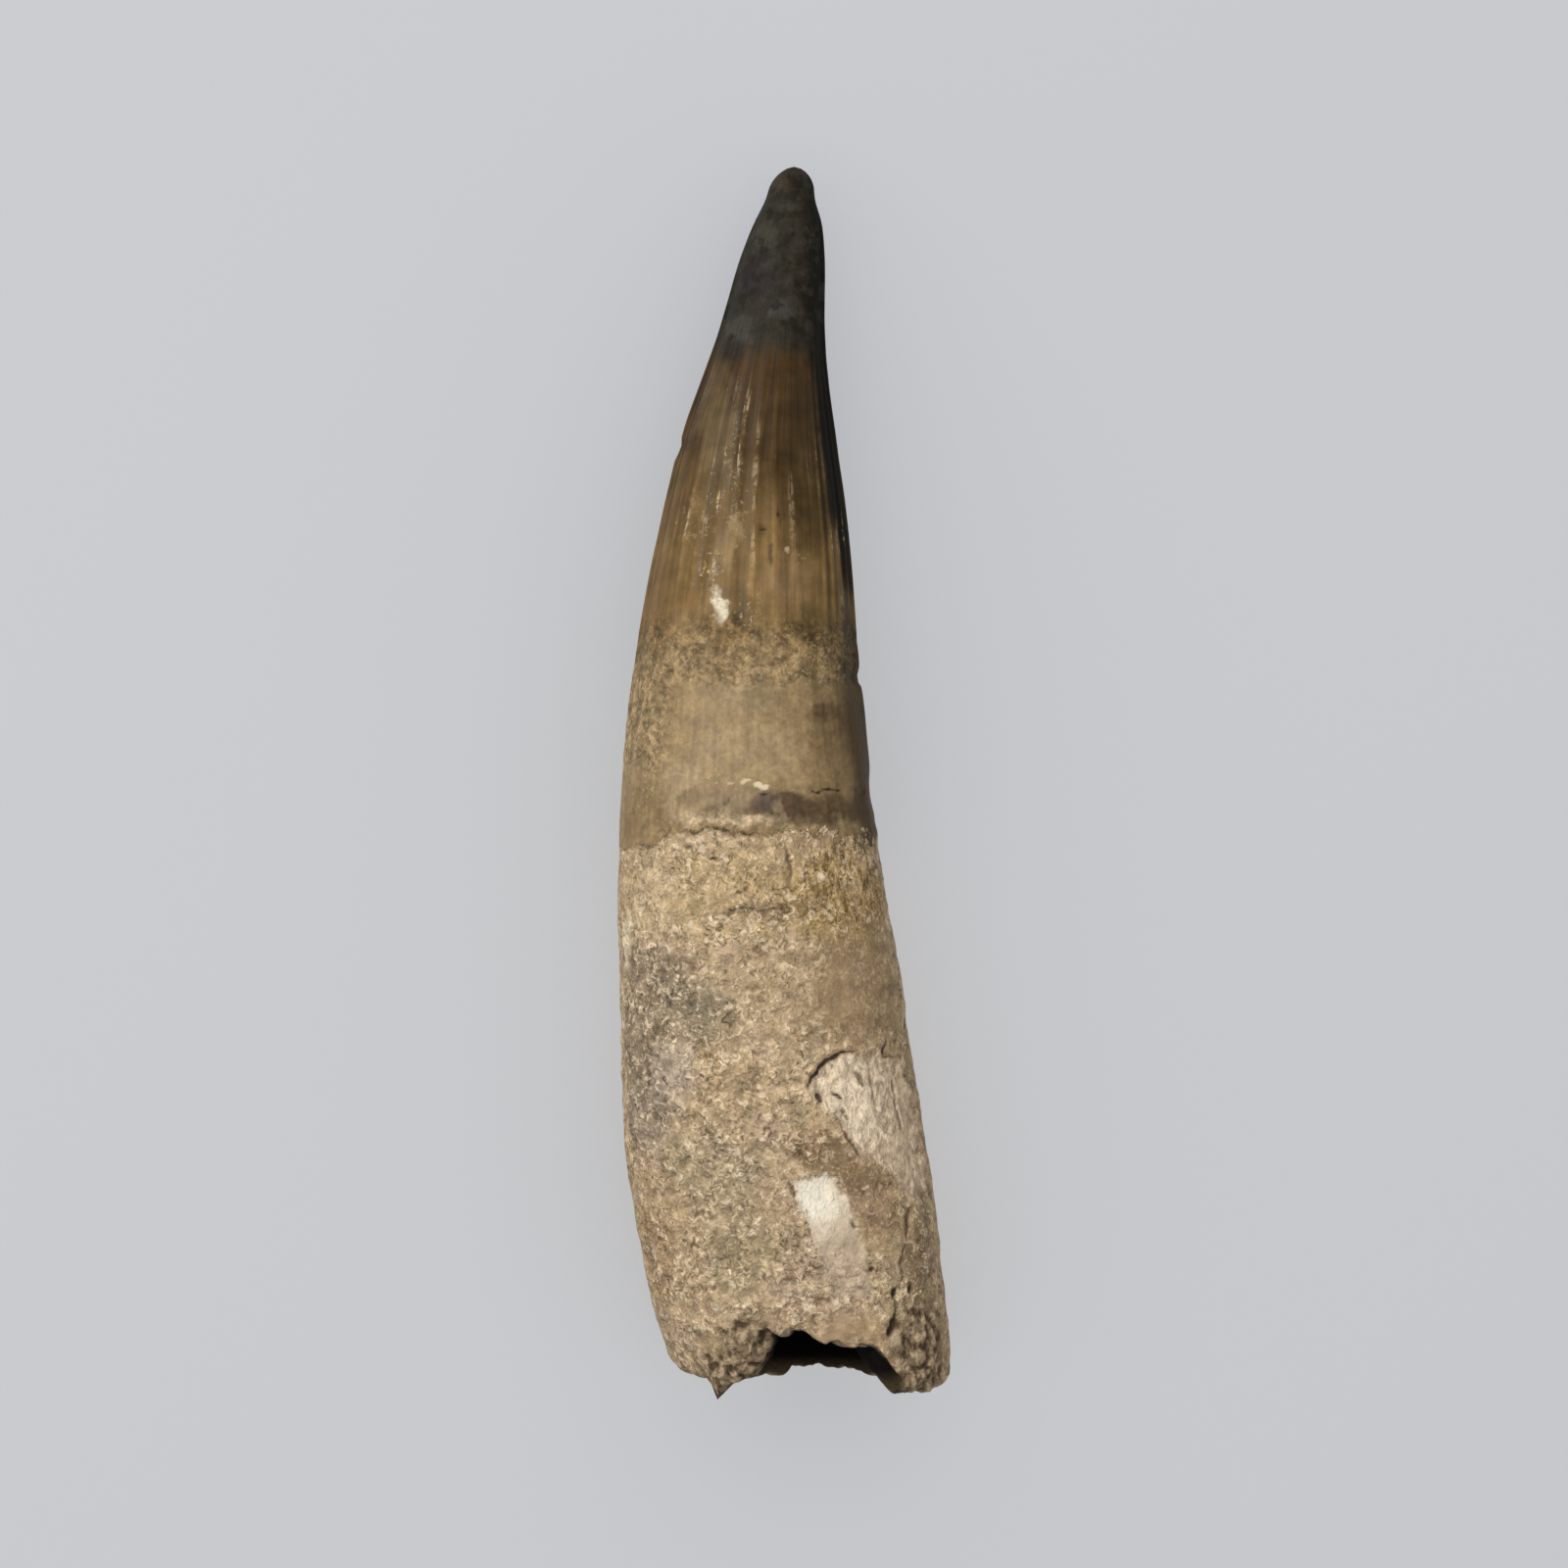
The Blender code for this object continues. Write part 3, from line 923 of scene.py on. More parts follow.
    def fields(self, skin: Skin, relief: Array) -> dict[str, Array]:
        """Works out what the finish needs to know at each point.

        Args:
            skin: The plain skin.
            relief: The relief on it.

        Returns:
            The values of each named field.
        """
        x, depth = self.shaken(skin)
        crack = np.minimum.reduce([stroke.outside(x, depth) for stroke in self.cracks])
        scratch = np.minimum.reduce([stroke.outside(x, depth) for stroke in self.scratches])
        return {
            "depth_mm": skin.depth,
            "stand": standing(relief),
            "from_right": np.abs(turn_between(0, skin.turn)),
            "upper": skin.upper,
            "past_edge": skin.depth - self.crown.lower_edge(skin.turn),
            "grainy": self.crown.grainy(skin),
            "upper_scar": np.clip(self.upper_scar.inside(skin), -4, 4),
            "lower_scar": np.clip(self.lower_scar.inside(skin), -4, 4),
            "crack": np.minimum(crack, 4),
            "scratch": np.minimum(scratch, 4),
            "lobe": self.rim.lobe(skin),
            "crumbled": self.rim.crumbled(skin),
            # The hollow's painted shade, and the painted shadow on the steep broken face.
            "inner": 1 - skin.outside + self.rim.steep_face_shadow(skin),
        }

    def build(self) -> bpy.types.Object:
        """Builds the mesh, fitted to the CAD tooth's box, with its fields.

        Returns:
            The tooth as an object.
        """
        plain = self.plain_skin()
        relief = self.relief(plain)
        carved = plain.pushed_out(relief)
        points = carved.points
        points[..., 2] = np.maximum(points[..., 2], 0)
        tip_x, tip_z = (float(row[0]) for row in self.form.section(np.array([0.0]))[:2])
        tip = np.array([tip_x, 0.0, tip_z])
        apex = points[-1].mean(0) + np.array([0.0, 0.4, 0.0])
        places = np.concatenate([points.reshape(-1, 3), [tip, apex]])
        low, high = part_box("tooth")
        scale = (np.array(high) - np.array(low)) / (places.max(0) - places.min(0))
        log.info("fitted to the box of the solid by %s", np.round(scale / MM, 4))
        places = (places - places.min(0)) * scale + np.array(low)
        mesh = bpy.data.meshes.new(self.name)
        mesh.from_pydata(places, [], self.faces(len(points)))
        for name, values in self.fields(plain, relief).items():
            ends = [values[0].mean(), values[-1].mean()]
            every = np.concatenate([values.reshape(-1), ends]).astype(np.float32)
            mesh.attributes.new(name, "FLOAT", "POINT").data.foreach_set("value", every)
        rod = self.crown.round_place(plain, 1.0).reshape(-1, 3)
        every = np.concatenate([rod, [rod[0] * 0, rod[-1]]]).astype(np.float32)
        round_place = mesh.attributes.new("round_place", "FLOAT_VECTOR", "POINT")
        round_place.data.foreach_set("vector", every.ravel())
        mesh.shade_smooth()
        tooth = bpy.data.objects.new(self.name, mesh)
        bpy.context.scene.collection.objects.link(tooth)
        return tooth

    def faces(self, rings: int) -> list[tuple[int, ...]]:
        """Lists the grid's faces and the fans that close its two ends.

        Args:
            rings: How many rings the grid has.

        Returns:
            The faces, as indices of points.
        """
        columns = self.columns
        tip, apex = rings * columns, rings * columns + 1
        last = (rings - 1) * columns
        faces: list[tuple[int, ...]] = []
        for k in range(columns):
            n = (k + 1) % columns
            faces.append((tip, k, n))
            faces.append((apex, last + n, last + k))
            for start in range(0, last, columns):
                faces.append((start + k, start + columns + k, start + columns + n, start + n))
        return faces

    def dress(self, tooth: bpy.types.Object) -> None:
        """Gives the tooth its finish.

        Args:
            tooth: The object from build.
        """
        tooth.data.materials.append(FossilFinish().material())
        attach(tooth, "root")
        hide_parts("tooth")


@dataclass(frozen=True)
class Oval:
    """A place on the upper side of the tooth, with how strongly it covers and how soft its edge is."""

    x: float
    depth: float
    half_x: float
    half_depth: float
    strength: float
    softness: float


@dataclass(frozen=True)
class Tint(Oval):
    """An oval with a colour of its own."""

    colour: Colour


class NodePad:
    """Lays out a material's nodes."""

    def __init__(self, name: str) -> None:
        """Starts a material.

        Args:
            name: The material's name.
        """
        self.material = bpy.data.materials.new(name)
        self.material.use_nodes = True
        self.nodes = self.material.node_tree.nodes
        self.links = self.material.node_tree.links
        self.shader = self.nodes["Principled BSDF"]

    def put(self, socket: Socket, value: "Socket | float | Colour") -> None:
        """Sets a socket to a value, or links another socket to it.

        Args:
            socket: The input to fill.
            value: A number, a colour or an output.
        """
        if isinstance(value, bpy.types.NodeSocket):
            self.links.new(value, socket)
        elif isinstance(value, tuple) and len(value) == 3 and socket.type == "RGBA":
            socket.default_value = (*value, 1.0)
        else:
            socket.default_value = value

    @cached_property
    def at(self) -> Socket:
        """The place on the tooth, in millimetres."""
        coordinates = self.nodes.new("ShaderNodeTexCoord")
        return self.scaled(coordinates.outputs["Object"], (1 / MM, 1 / MM, 1 / MM))

    def scaled(self, vector: Socket, scale: tuple[float, float, float]) -> Socket:
        """A vector with each part scaled."""
        node = self.nodes.new("ShaderNodeVectorMath")
        node.operation = "MULTIPLY"
        self.put(node.inputs[0], vector)
        node.inputs[1].default_value = scale
        return node.outputs[0]

    def field(self, name: str) -> Socket:
        """A field of the mesh, as a number."""
        node = self.nodes.new("ShaderNodeAttribute")
        node.attribute_name = name
        return node.outputs["Fac"]

    def vector_field(self, name: str) -> Socket:
        """A field of the mesh, as a vector."""
        node = self.nodes.new("ShaderNodeAttribute")
        node.attribute_name = name
        return node.outputs["Vector"]

    def noise(
        self,
        size: float,
        detail: float = 2.0,
        harsh: float = 0.5,
        warp: float = 0.0,
        at: "Socket | None" = None,
    ) -> Socket:
        """Lays noise over the tooth.

        Args:
            size: The size of its bumps.
            detail: How many finer layers it has.
            harsh: How strong the finer layers are.
            warp: How much it is twisted.
            at: The place to read it at, if it isn't the place on the tooth.

        Returns:
            Values about 0.5.
        """
        node = self.nodes.new("ShaderNodeTexNoise")
        self.put(node.inputs["Vector"], self.at if at is None else at)
        node.inputs["Scale"].default_value = 1 / size
        node.inputs["Detail"].default_value = detail
        node.inputs["Roughness"].default_value = harsh
        node.inputs["Distortion"].default_value = warp
        return node.outputs[0]

    @cached_property
    def plan(self) -> Socket:
        """The place as seen from above, shifted so that what is drawn there has a ragged edge.

        Returns:
            The x, the depth from the tip, and 0 on the upper side.
        """
        split = self.nodes.new("ShaderNodeSeparateXYZ")
        self.put(split.inputs[0], self.at)
        join = self.nodes.new("ShaderNodeCombineXYZ")
        self.put(join.inputs[0], split.outputs[0])
        self.put(join.inputs[1], self.field("depth_mm"))
        self.put(join.inputs[2], self.calc("MULTIPLY_ADD", self.field("upper"), -20.0, 20.0))
        place = join.outputs[0]
        for size, reach in ((3.0, 3.0), (0.7, 1.0)):
            ragged = self.nodes.new("ShaderNodeTexNoise")
            self.put(ragged.inputs["Vector"], self.at)
            ragged.inputs["Scale"].default_value = 1 / size
            shift = self.nodes.new("ShaderNodeVectorMath")
            shift.operation = "MULTIPLY_ADD"
            self.put(shift.inputs[0], ragged.outputs["Color"])
            shift.inputs[1].default_value = (reach, reach, 0)
            self.put(shift.inputs[2], place)
            centred = self.nodes.new("ShaderNodeVectorMath")
            self.put(centred.inputs[0], shift.outputs[0])
            centred.inputs[1].default_value = (-reach / 2, -reach / 2, 0)
            place = centred.outputs[0]
        return place

    def cover(self, oval: Oval) -> Socket:
        """Gives how much of an oval lies on each place.

        Args:
            oval: The oval.

        Returns:
            From 0 to the oval's strength.
        """
        reached = self.nodes.new("ShaderNodeVectorMath")
        reached.operation = "MULTIPLY_ADD"
        self.put(reached.inputs[0], self.plan)
        reached.inputs[1].default_value = (1 / oval.half_x, 1 / oval.half_depth, 1)
        reached.inputs[2].default_value = (-oval.x / oval.half_x, -oval.depth / oval.half_depth, 0)
        length = self.nodes.new("ShaderNodeVectorMath")
        length.operation = "LENGTH"
        self.put(length.inputs[0], reached.outputs[0])
        soft = oval.softness
        return self.span(length.outputs["Value"], 1 - soft, 1 + soft, oval.strength, 0.0)

    def cover_any(self, ovals: tuple[Oval, ...]) -> Socket:
        """Gives how much any of some ovals lies on each place.

        Args:
            ovals: The ovals.

        Returns:
            From 0 to 1.
        """
        where = self.cover(ovals[0])
        for oval in ovals[1:]:
            where = self.calc("MAXIMUM", where, self.cover(oval))
        return where

    def tinted(self, colour: Socket, tints: tuple[Tint, ...]) -> Socket:
        """Lays tints over a colour.

        Args:
            colour: The colour.
            tints: The tints, the lowest first.

        Returns:
            The colour that results.
        """
        for tint in tints:
            colour = self.mix(self.cover(tint), colour, tint.colour)
        return colour

    def toned(self, colour: Socket, tone: Socket) -> Socket:
        """A colour made darker or lighter by a factor."""
        toned = self.mix(tone, (0.0, 0.0, 0.0), colour)
        toned.node.clamp_factor = False
        return toned

    def calc(
        self,
        operation: str,
        a: "Socket | float",
        b: "Socket | float" = 0.0,
        c: "Socket | float" = 0.0,
    ) -> Socket:
        """The result of a sum on up to three numbers."""
        node = self.nodes.new("ShaderNodeMath")
        node.operation = operation
        for socket, value in zip(node.inputs, (a, b, c)):
            self.put(socket, value)
        return node.outputs[0]

    def times(self, a: "Socket | float", b: "Socket | float") -> Socket:
        """a times b."""
        return self.calc("MULTIPLY", a, b)

    def plus(self, a: "Socket | float", b: "Socket | float") -> Socket:
        """a plus b."""
        return self.calc("ADD", a, b)

    def span(
        self,
        value: Socket,
        low: float,
        high: float,
        start: float = 0.0,
        end: float = 1.0,
    ) -> Socket:
        """Maps a value smoothly from one range to another.

        Args:
            value: The value.
            low: Where the rise starts, below `high`.
            high: Where the rise ends.
            start: The result at `low` and below.
            end: The result at `high` and above.

        Returns:
            The mapped value.
        """
        node = self.nodes.new("ShaderNodeMapRange")
        node.interpolation_type = "SMOOTHSTEP"
        for socket, number in zip(node.inputs, (value, low, high, start, end)):
            self.put(socket, number)
        return node.outputs[0]

    def swayed(self, value: Socket, noises: tuple[Socket, Socket], reach: float) -> Socket:
        """A value shifted to and fro by two noises, by up to about `reach`."""
        shifted = self.calc("MULTIPLY_ADD", self.plus(*noises), reach, value)
        return self.plus(shifted, -reach)

    def between(self, value: Socket, low: float, high: float, soft: float) -> Socket:
        """1 where a value is between two others, 0 outside them."""
        rise = self.span(value, low - soft, low + soft)
        return self.times(rise, self.span(value, high - soft, high + soft, 1.0, 0.0))

    def mix(self, cover: "Socket | float", under: "Socket | Colour", over: "Socket | Colour") -> Socket:
        """Lays one colour over another.

        Args:
            cover: How much of the upper colour shows.
            under: The lower colour.
            over: The upper colour.

        Returns:
            The colour.
        """
        node = self.nodes.new("ShaderNodeMix")
        node.data_type = "RGBA"
        colours = [socket for socket in node.inputs if socket.type == "RGBA"]
        self.put(node.inputs[0], cover)
        self.put(colours[0], under)
        self.put(colours[1], over)
        return next(socket for socket in node.outputs if socket.type == "RGBA")

    def weigh(self, cover: Socket, under: "Socket | float", over: "Socket | float") -> Socket:
        """A number between two others, by how much the upper one covers."""
        node = self.nodes.new("ShaderNodeMix")
        node.data_type = "FLOAT"
        numbers = [socket for socket in node.inputs if socket.type == "VALUE"]
        for socket, value in zip(numbers, (cover, under, over)):
            self.put(socket, value)
        return node.outputs[0]

    def bump(self, height: Socket) -> None:
        """Raises the surface by a height in millimetres."""
        node = self.nodes.new("ShaderNodeBump")
        node.inputs["Strength"].default_value = 1.0
        node.inputs["Distance"].default_value = MM
        self.put(node.inputs["Height"], height)
        self.put(self.shader.inputs["Normal"], node.outputs[0])


@dataclass(frozen=True)
class Coat:
    """One kind of surface: its colour, roughness and fine height."""

    colour: Socket
    roughness: "Socket | float"
    height: "Socket | float"

    def under(self, pad: NodePad, upper: "Coat", cover: Socket) -> "Coat":
        """Lays another surface over this one.

        Args:
            pad: The material's nodes.
            upper: The other surface.
            cover: Where it shows, from 0 to 1.

        Returns:
            The surface that results.
        """
        return Coat(
            pad.mix(cover, self.colour, upper.colour),
            pad.weigh(cover, self.roughness, upper.roughness),
            pad.weigh(cover, self.height, upper.height),
        )


@dataclass(frozen=True)
class EnamelPatterns:
    """What the enamel's tone, marks, height and shine are worked out from."""

    depth: Socket
    shifted: Socket
    stand: Socket
    fluted: Socket
    grainy: Socket
    broad: Socket
    fine: Socket
    mottle: Socket
    grain: Socket


@dataclass(frozen=True)
class EnamelFinish:
    """Satin enamel: near-black at the tip, brown and then tan towards the root, streaked lengthwise.

    The spans are depths, in millimetres, or turns from the right-hand side, in degrees.
    """

    tip: Colour = (0.025, 0.021, 0.013)
    brown: Colour = (0.051, 0.027, 0.009)
    tan: Colour = (0.146, 0.087, 0.031)
    pale: Colour = (0.272, 0.188, 0.095)
    # Near-black: the tip's dark mottles, and the dark strip that paints the shade on the right-hand side.
    stain_and_shade: Colour = (0.012, 0.010, 0.006)
    smudge: Colour = (0.032, 0.027, 0.020)
    # Brown on the right-hand side of the lower crown: its own colour and painted shade.
    side_brown_and_shade: Colour = (0.060, 0.036, 0.014)
    # The crumbs' cream, which also paints sparkle highlights.
    cream: Colour = (0.420, 0.340, 0.200)
    # The colour of the painted highlights along the flute crests.
    painted_glint: Colour = (0.520, 0.410, 0.250)
    mark: Colour = (0.045, 0.027, 0.010)
    tip_to_brown: Span = (17.0, 20.4)
    brown_to_tan: Span = (21.0, 38.0)
    tan_to_pale: Span = (43.5, 53.0)
    sway: float = 6.0
    side_sway: float = 34.0
    brown_and_shade_side: Span = (22.0, 52.0)
    brown_side_from: Span = (38.0, 48.0)
    strip_side: Span = (33.0, 46.0)
    strip_to: Span = (42.0, 49.0)
    strip_narrows_from: float = 31.0
    strip_narrowing: float = 2.2
    fluted: Span = (17.0, 45.0)
    smudged_to: Span = (15.0, 20.0)
    dull_to: Span = (15.0, 22.0)
    tip_roughness: float = 0.62
    roughness: float = 0.52
    grainy_roughness: float = 0.55
    strip_roughness: float = 0.80
    glossy_roughness: float = 0.2
    tints: tuple[Tint, ...] = (
        Tint(-0.6, 1.2, 1.5, 1.5, 0.6, 0.45, (0.044, 0.030, 0.019)),
        Tint(-1.8, 7.2, 1.2, 1.6, 0.6, 0.45, (0.050, 0.047, 0.032)),
        Tint(-2.6, 11.0, 2.2, 2.6, 0.7, 0.45, (0.020, 0.014, 0.014)),
        Tint(-4.3, 16.3, 1.2, 1.1, 0.5, 0.7, (0.075, 0.070, 0.058)),
        Tint(-0.4, 14.8, 0.9, 0.6, 0.6, 0.7, (0.060, 0.052, 0.052)),
        Tint(2.0, 27.0, 3.2, 7.5, 0.8, 0.5, (0.040, 0.024, 0.009)),
        Tint(3.3, 34.0, 2.2, 4.0, 0.75, 0.6, (0.048, 0.029, 0.009)),
        # These two near-black tints by the right-hand edge paint the shade on that side.
        Tint(3.3, 12.0, 1.5, 8.5, 0.85, 0.4, (0.008, 0.007, 0.005)),
        Tint(4.8, 27.0, 1.4, 8.0, 0.8, 0.4, (0.010, 0.008, 0.006)),
        Tint(-1.7, 29.6, 2.1, 3.2, 0.75, 0.6, (0.040, 0.021, 0.006)),
        Tint(-7.2, 30.0, 1.3, 4.0, 0.55, 0.6, (0.120, 0.080, 0.037)),
        Tint(-2.4, 33.5, 1.6, 3.5, 0.55, 0.6, (0.100, 0.060, 0.022)),
        Tint(-6.5, 26.0, 1.7, 5.5, 0.7, 0.45, (0.128, 0.086, 0.039)),
        Tint(-12.3, 40.0, 1.7, 7.0, 0.5, 0.45, (0.175, 0.108, 0.044)),
        Tint(-5.5, 37.9, 0.8, 1.8, 0.7, 0.45, (0.240, 0.160, 0.070)),
        Tint(0.0, 41.3, 3.0, 2.4, 0.75, 0.6, (0.182, 0.114, 0.053)),
        Tint(2.9, 45.5, 1.6, 2.3, 0.8, 0.45, (0.095, 0.062, 0.023)),
        Tint(-3.8, 44.7, 1.1, 2.0, 0.65, 0.45, (0.090, 0.058, 0.026)),
        Tint(-3.3, 52.6, 3.2, 1.3, 0.6, 0.45, (0.225, 0.170, 0.095)),
        Tint(-3.5, 57.5, 5.0, 2.8, 0.5, 0.45, (0.320, 0.232, 0.130)),
        Tint(-13.5, 53.5, 3.2, 5.5, 0.55, 0.45, (0.235, 0.160, 0.080)),
        Tint(-13.5, 63.9, 2.9, 3.2, 0.85, 0.45, (0.200, 0.137, 0.067)),
        Tint(-9.8, 60.2, 1.7, 1.4, 0.5, 0.5, (0.340, 0.255, 0.148)),
        Tint(-9.1, 62.5, 1.0, 1.1, 0.8, 0.25, (0.190, 0.133, 0.070)),
        Tint(-10.6, 63.1, 0.5, 1.5, 0.5, 0.4, (0.340, 0.255, 0.150)),
        Tint(-4.9, 62.6, 2.8, 1.1, 0.6, 0.6, (0.200, 0.150, 0.095)),
        Tint(2.7, 63.2, 6.0, 1.4, 0.92, 0.45, (0.066, 0.042, 0.022)),
        Tint(2.2, 64.3, 1.6, 0.5, 0.6, 0.6, (0.150, 0.104, 0.058)),
        Tint(6.2, 56.0, 1.6, 3.0, 0.6, 0.6, (0.150, 0.098, 0.048)),
        Tint(5.4, 57.0, 3.4, 5.5, 0.65, 0.6, (0.165, 0.106, 0.048)),
        Tint(4.2, 53.9, 1.7, 1.0, 0.75, 0.6, (0.105, 0.067, 0.031)),
        Tint(2.0, 51.6, 1.0, 0.8, 0.5, 0.6, (0.180, 0.124, 0.066)),
        Tint(-1.6, 62.7, 1.2, 0.9, 0.7, 0.5, (0.090, 0.064, 0.052)),
        Tint(-5.3, 64.35, 4.4, 0.65, 0.9, 0.5, (0.395, 0.298, 0.182)),
        Tint(-0.5, 63.9, 0.4, 1.3, 0.6, 0.45, (0.260, 0.190, 0.120)),
    )
    # Pale chips of the enamel; the spots at x -6.5 and x -0.1 are painted highlights.
    chips_and_highlights: tuple[Tint, ...] = (
        Tint(-2.35, 61.30, 0.75, 0.36, 0.95, 0.4, (0.620, 0.520, 0.350)),
        Tint(-3.85, 61.20, 0.38, 0.30, 0.9, 0.4, (0.560, 0.450, 0.290)),
        Tint(-5.0, 60.90, 0.28, 0.24, 0.8, 0.4, (0.460, 0.360, 0.220)),
        Tint(-6.5, 43.70, 0.60, 1.70, 0.8, 0.5, (0.640, 0.560, 0.400)),
        Tint(-4.7, 36.4, 0.45, 1.30, 0.6, 0.4, (0.300, 0.205, 0.095)),
        Tint(-0.1, 38.3, 0.26, 0.30, 0.7, 0.5, (0.420, 0.320, 0.200)),
        Tint(3.3, 3.4, 0.10, 0.30, 0.6, 0.4, (0.200, 0.180, 0.130)),
    )
    # Where the crumbs and their painted sparkle lie.
    speckled: tuple[Oval, ...] = (
        Oval(-4.6, 32.8, 0.9, 6.0, 0.6, 0.45),
        Oval(-8.2, 36.0, 1.8, 3.5, 0.3, 0.45),
        Oval(-7.2, 40.5, 1.6, 3.0, 1.0, 0.45),
        Oval(-3.6, 44.5, 1.6, 2.4, 1.0, 0.45),
        Oval(2.0, 39.0, 0.7, 0.5, 1.0, 0.45),
        Oval(-6.0, 60.8, 2.6, 1.0, 1.0, 0.45),
        Oval(-4.0, 48.4, 11.0, 3.0, 0.65, 0.45),
        Oval(-13.6, 53.0, 3.0, 7.0, 1.0, 0.45),
        Oval(-13.8, 60.5, 1.6, 3.5, 0.9, 0.45),
    )
    # Where painted highlights lie along the flute crests.
    painted_glints: tuple[Oval, ...] = (
        Oval(-9.6, 35.0, 0.7, 2.2, 0.7, 0.5),
        Oval(-6.7, 32.0, 0.6, 2.4, 1.0, 0.4),
        Oval(-7.2, 35.8, 0.6, 1.8, 1.0, 0.4),
        Oval(-4.2, 28.5, 1.6, 6.0, 0.6, 0.5),
        Oval(-2.4, 35.0, 0.8, 5.0, 0.45, 0.5),
        Oval(1.4, 32.0, 1.6, 6.0, 0.25, 0.5),
        Oval(5.4, 37.2, 0.6, 2.0, 0.8, 0.5),
        Oval(5.9, 44.4, 0.6, 2.4, 0.9, 0.5),
    )
    glossy: tuple[Oval, ...] = (
        Oval(-6.4, 43.6, 0.9, 2.0, 1.0, 0.4),
        Oval(-6.5, 32.0, 0.5, 2.2, 1.0, 0.4),
        Oval(-7.1, 35.9, 0.4, 1.5, 1.0, 0.4),
        Oval(-9.5, 35.2, 0.5, 2.0, 1.0, 0.4),
        Oval(-4.6, 29.0, 0.8, 6.0, 0.8, 0.5),
        Oval(-7.4, 40.0, 1.0, 1.5, 1.0, 0.5),
    )

    def coat(self, pad: NodePad) -> Coat:
        """Paints the enamel.

        Args:
            pad: The material's nodes.

        Returns:
            The surface.
        """
        depth = pad.field("depth_mm")
        rod = pad.vector_field("round_place")
        broad = pad.noise(2.0, 3, at=pad.scaled(rod, (1, 1, 0.10)))
        fine = pad.noise(0.42, 3, 0.6, at=pad.scaled(rod, (1, 1, 0.06)))
        sway = (pad.noise(7, 4), broad)
        shifted = pad.swayed(depth, sway, self.sway)
        colour = pad.tinted(self.lengthwise(pad, shifted), self.tints)
        from_right = pad.swayed(pad.field("from_right"), sway, self.side_sway)
        # Browner towards the right-hand side: stain and painted shade.
        brown_and_shade_side = pad.span(from_right, *self.brown_and_shade_side, 0.92, 0.0)
        brown_and_shade_side = pad.times(brown_and_shade_side, pad.span(depth, *self.brown_side_from))
        colour = pad.mix(brown_and_shade_side, colour, self.side_brown_and_shade)
        # The dark strip on the right-hand side: stain and painted shade.
        stain_and_shade_strip = self.stain_and_shade_strip(pad, depth, from_right, shifted)
        colour = pad.mix(stain_and_shade_strip, colour, self.stain_and_shade)
        patterns = EnamelPatterns(
            depth=depth,
            shifted=shifted,
            stand=pad.field("stand"),
            fluted=pad.between(depth, *self.fluted, 3.0),
            grainy=pad.field("grainy"),
            broad=broad,
            fine=fine,
            mottle=pad.noise(1.6, 4, 0.6),
            grain=pad.noise(0.62, 3, 0.65, 0.5),
        )
        colour = self.smudged(pad, patterns, colour)
        colour = pad.toned(colour, self.tone(pad, patterns))
        crumbs_and_sparkle = self.crumbs_and_sparkle(pad)
        colour = self.marked(pad, patterns, crumbs_and_sparkle, colour)
        height = self.height(pad, patterns, crumbs_and_sparkle)
        return Coat(colour, self.shine(pad, patterns, stain_and_shade_strip), height)

    def lengthwise(self, pad: NodePad, shifted: Socket) -> Socket:
        """The enamel's colour along its length, read at a depth that is shifted to and fro."""
        colour = pad.mix(pad.span(shifted, *self.tip_to_brown), self.tip, self.brown)
        colour = pad.mix(pad.span(shifted, *self.brown_to_tan), colour, self.tan)
        return pad.mix(pad.span(shifted, *self.tan_to_pale), colour, self.pale)

    def stain_and_shade_strip(self, pad: NodePad, depth: Socket, from_right: Socket, shifted: Socket) -> Socket:
        """Marks the dark strip on the right-hand side, which narrows towards the root: a stain that also
        paints the shade on that side.

        Args:
            pad: The material's nodes.
            depth: The depth.
            from_right: The turn from the right-hand side, shifted to and fro.
            shifted: The depth, shifted to and fro.

        Returns:
            How much of the strip covers each place.
        """
        narrowing = pad.calc("MAXIMUM", pad.plus(depth, -self.strip_narrows_from), 0.0)
        side = pad.calc("MULTIPLY_ADD", narrowing, self.strip_narrowing, from_right)
        stain_and_shade_strip = pad.span(side, *self.strip_side, 0.94, 0.0)
        return pad.times(stain_and_shade_strip, pad.span(shifted, *self.strip_to, 1.0, 0.0))

    def smudged(self, pad: NodePad, of: EnamelPatterns, colour: Socket) -> Socket:
        """Lays paler and darker smudges over the tip.

        Args:
            pad: The material's nodes.
            of: The enamel's patterns.
            colour: The colour.

        Returns:
            The colour that results.
        """
        at_tip = pad.span(of.shifted, *self.smudged_to, 1.0, 0.0)
        pale = pad.times(at_tip, pad.span(of.mottle, 0.50, 0.66, 0.0, 0.7))
        colour = pad.mix(pale, colour, self.smudge)
        dark = pad.times(at_tip, pad.span(of.mottle, 0.36, 0.48, 0.6, 0.0))
        return pad.mix(dark, colour, self.stain_and_shade)

    def tone(self, pad: NodePad, of: EnamelPatterns) -> Socket:
        """Works out the factor that makes each place darker or lighter.

        Args:
            pad: The material's nodes.
            of: The enamel's patterns.

        Returns:
            The factor: streaks and crests where there are flutes, grain where there are none.
        """
        streaks = pad.span(of.broad, 0.32, 0.68, 0.80, 1.20)
        streaks = pad.times(streaks, pad.span(of.fine, 0.30, 0.70, 0.86, 1.16))
        unfluted = pad.span(of.fine, 0.25, 0.75, 0.88, 1.12)
        unfluted = pad.times(unfluted, pad.span(of.grain, 0.3, 0.7, 0.86, 1.14))
        tone = pad.weigh(of.fluted, unfluted, streaks)
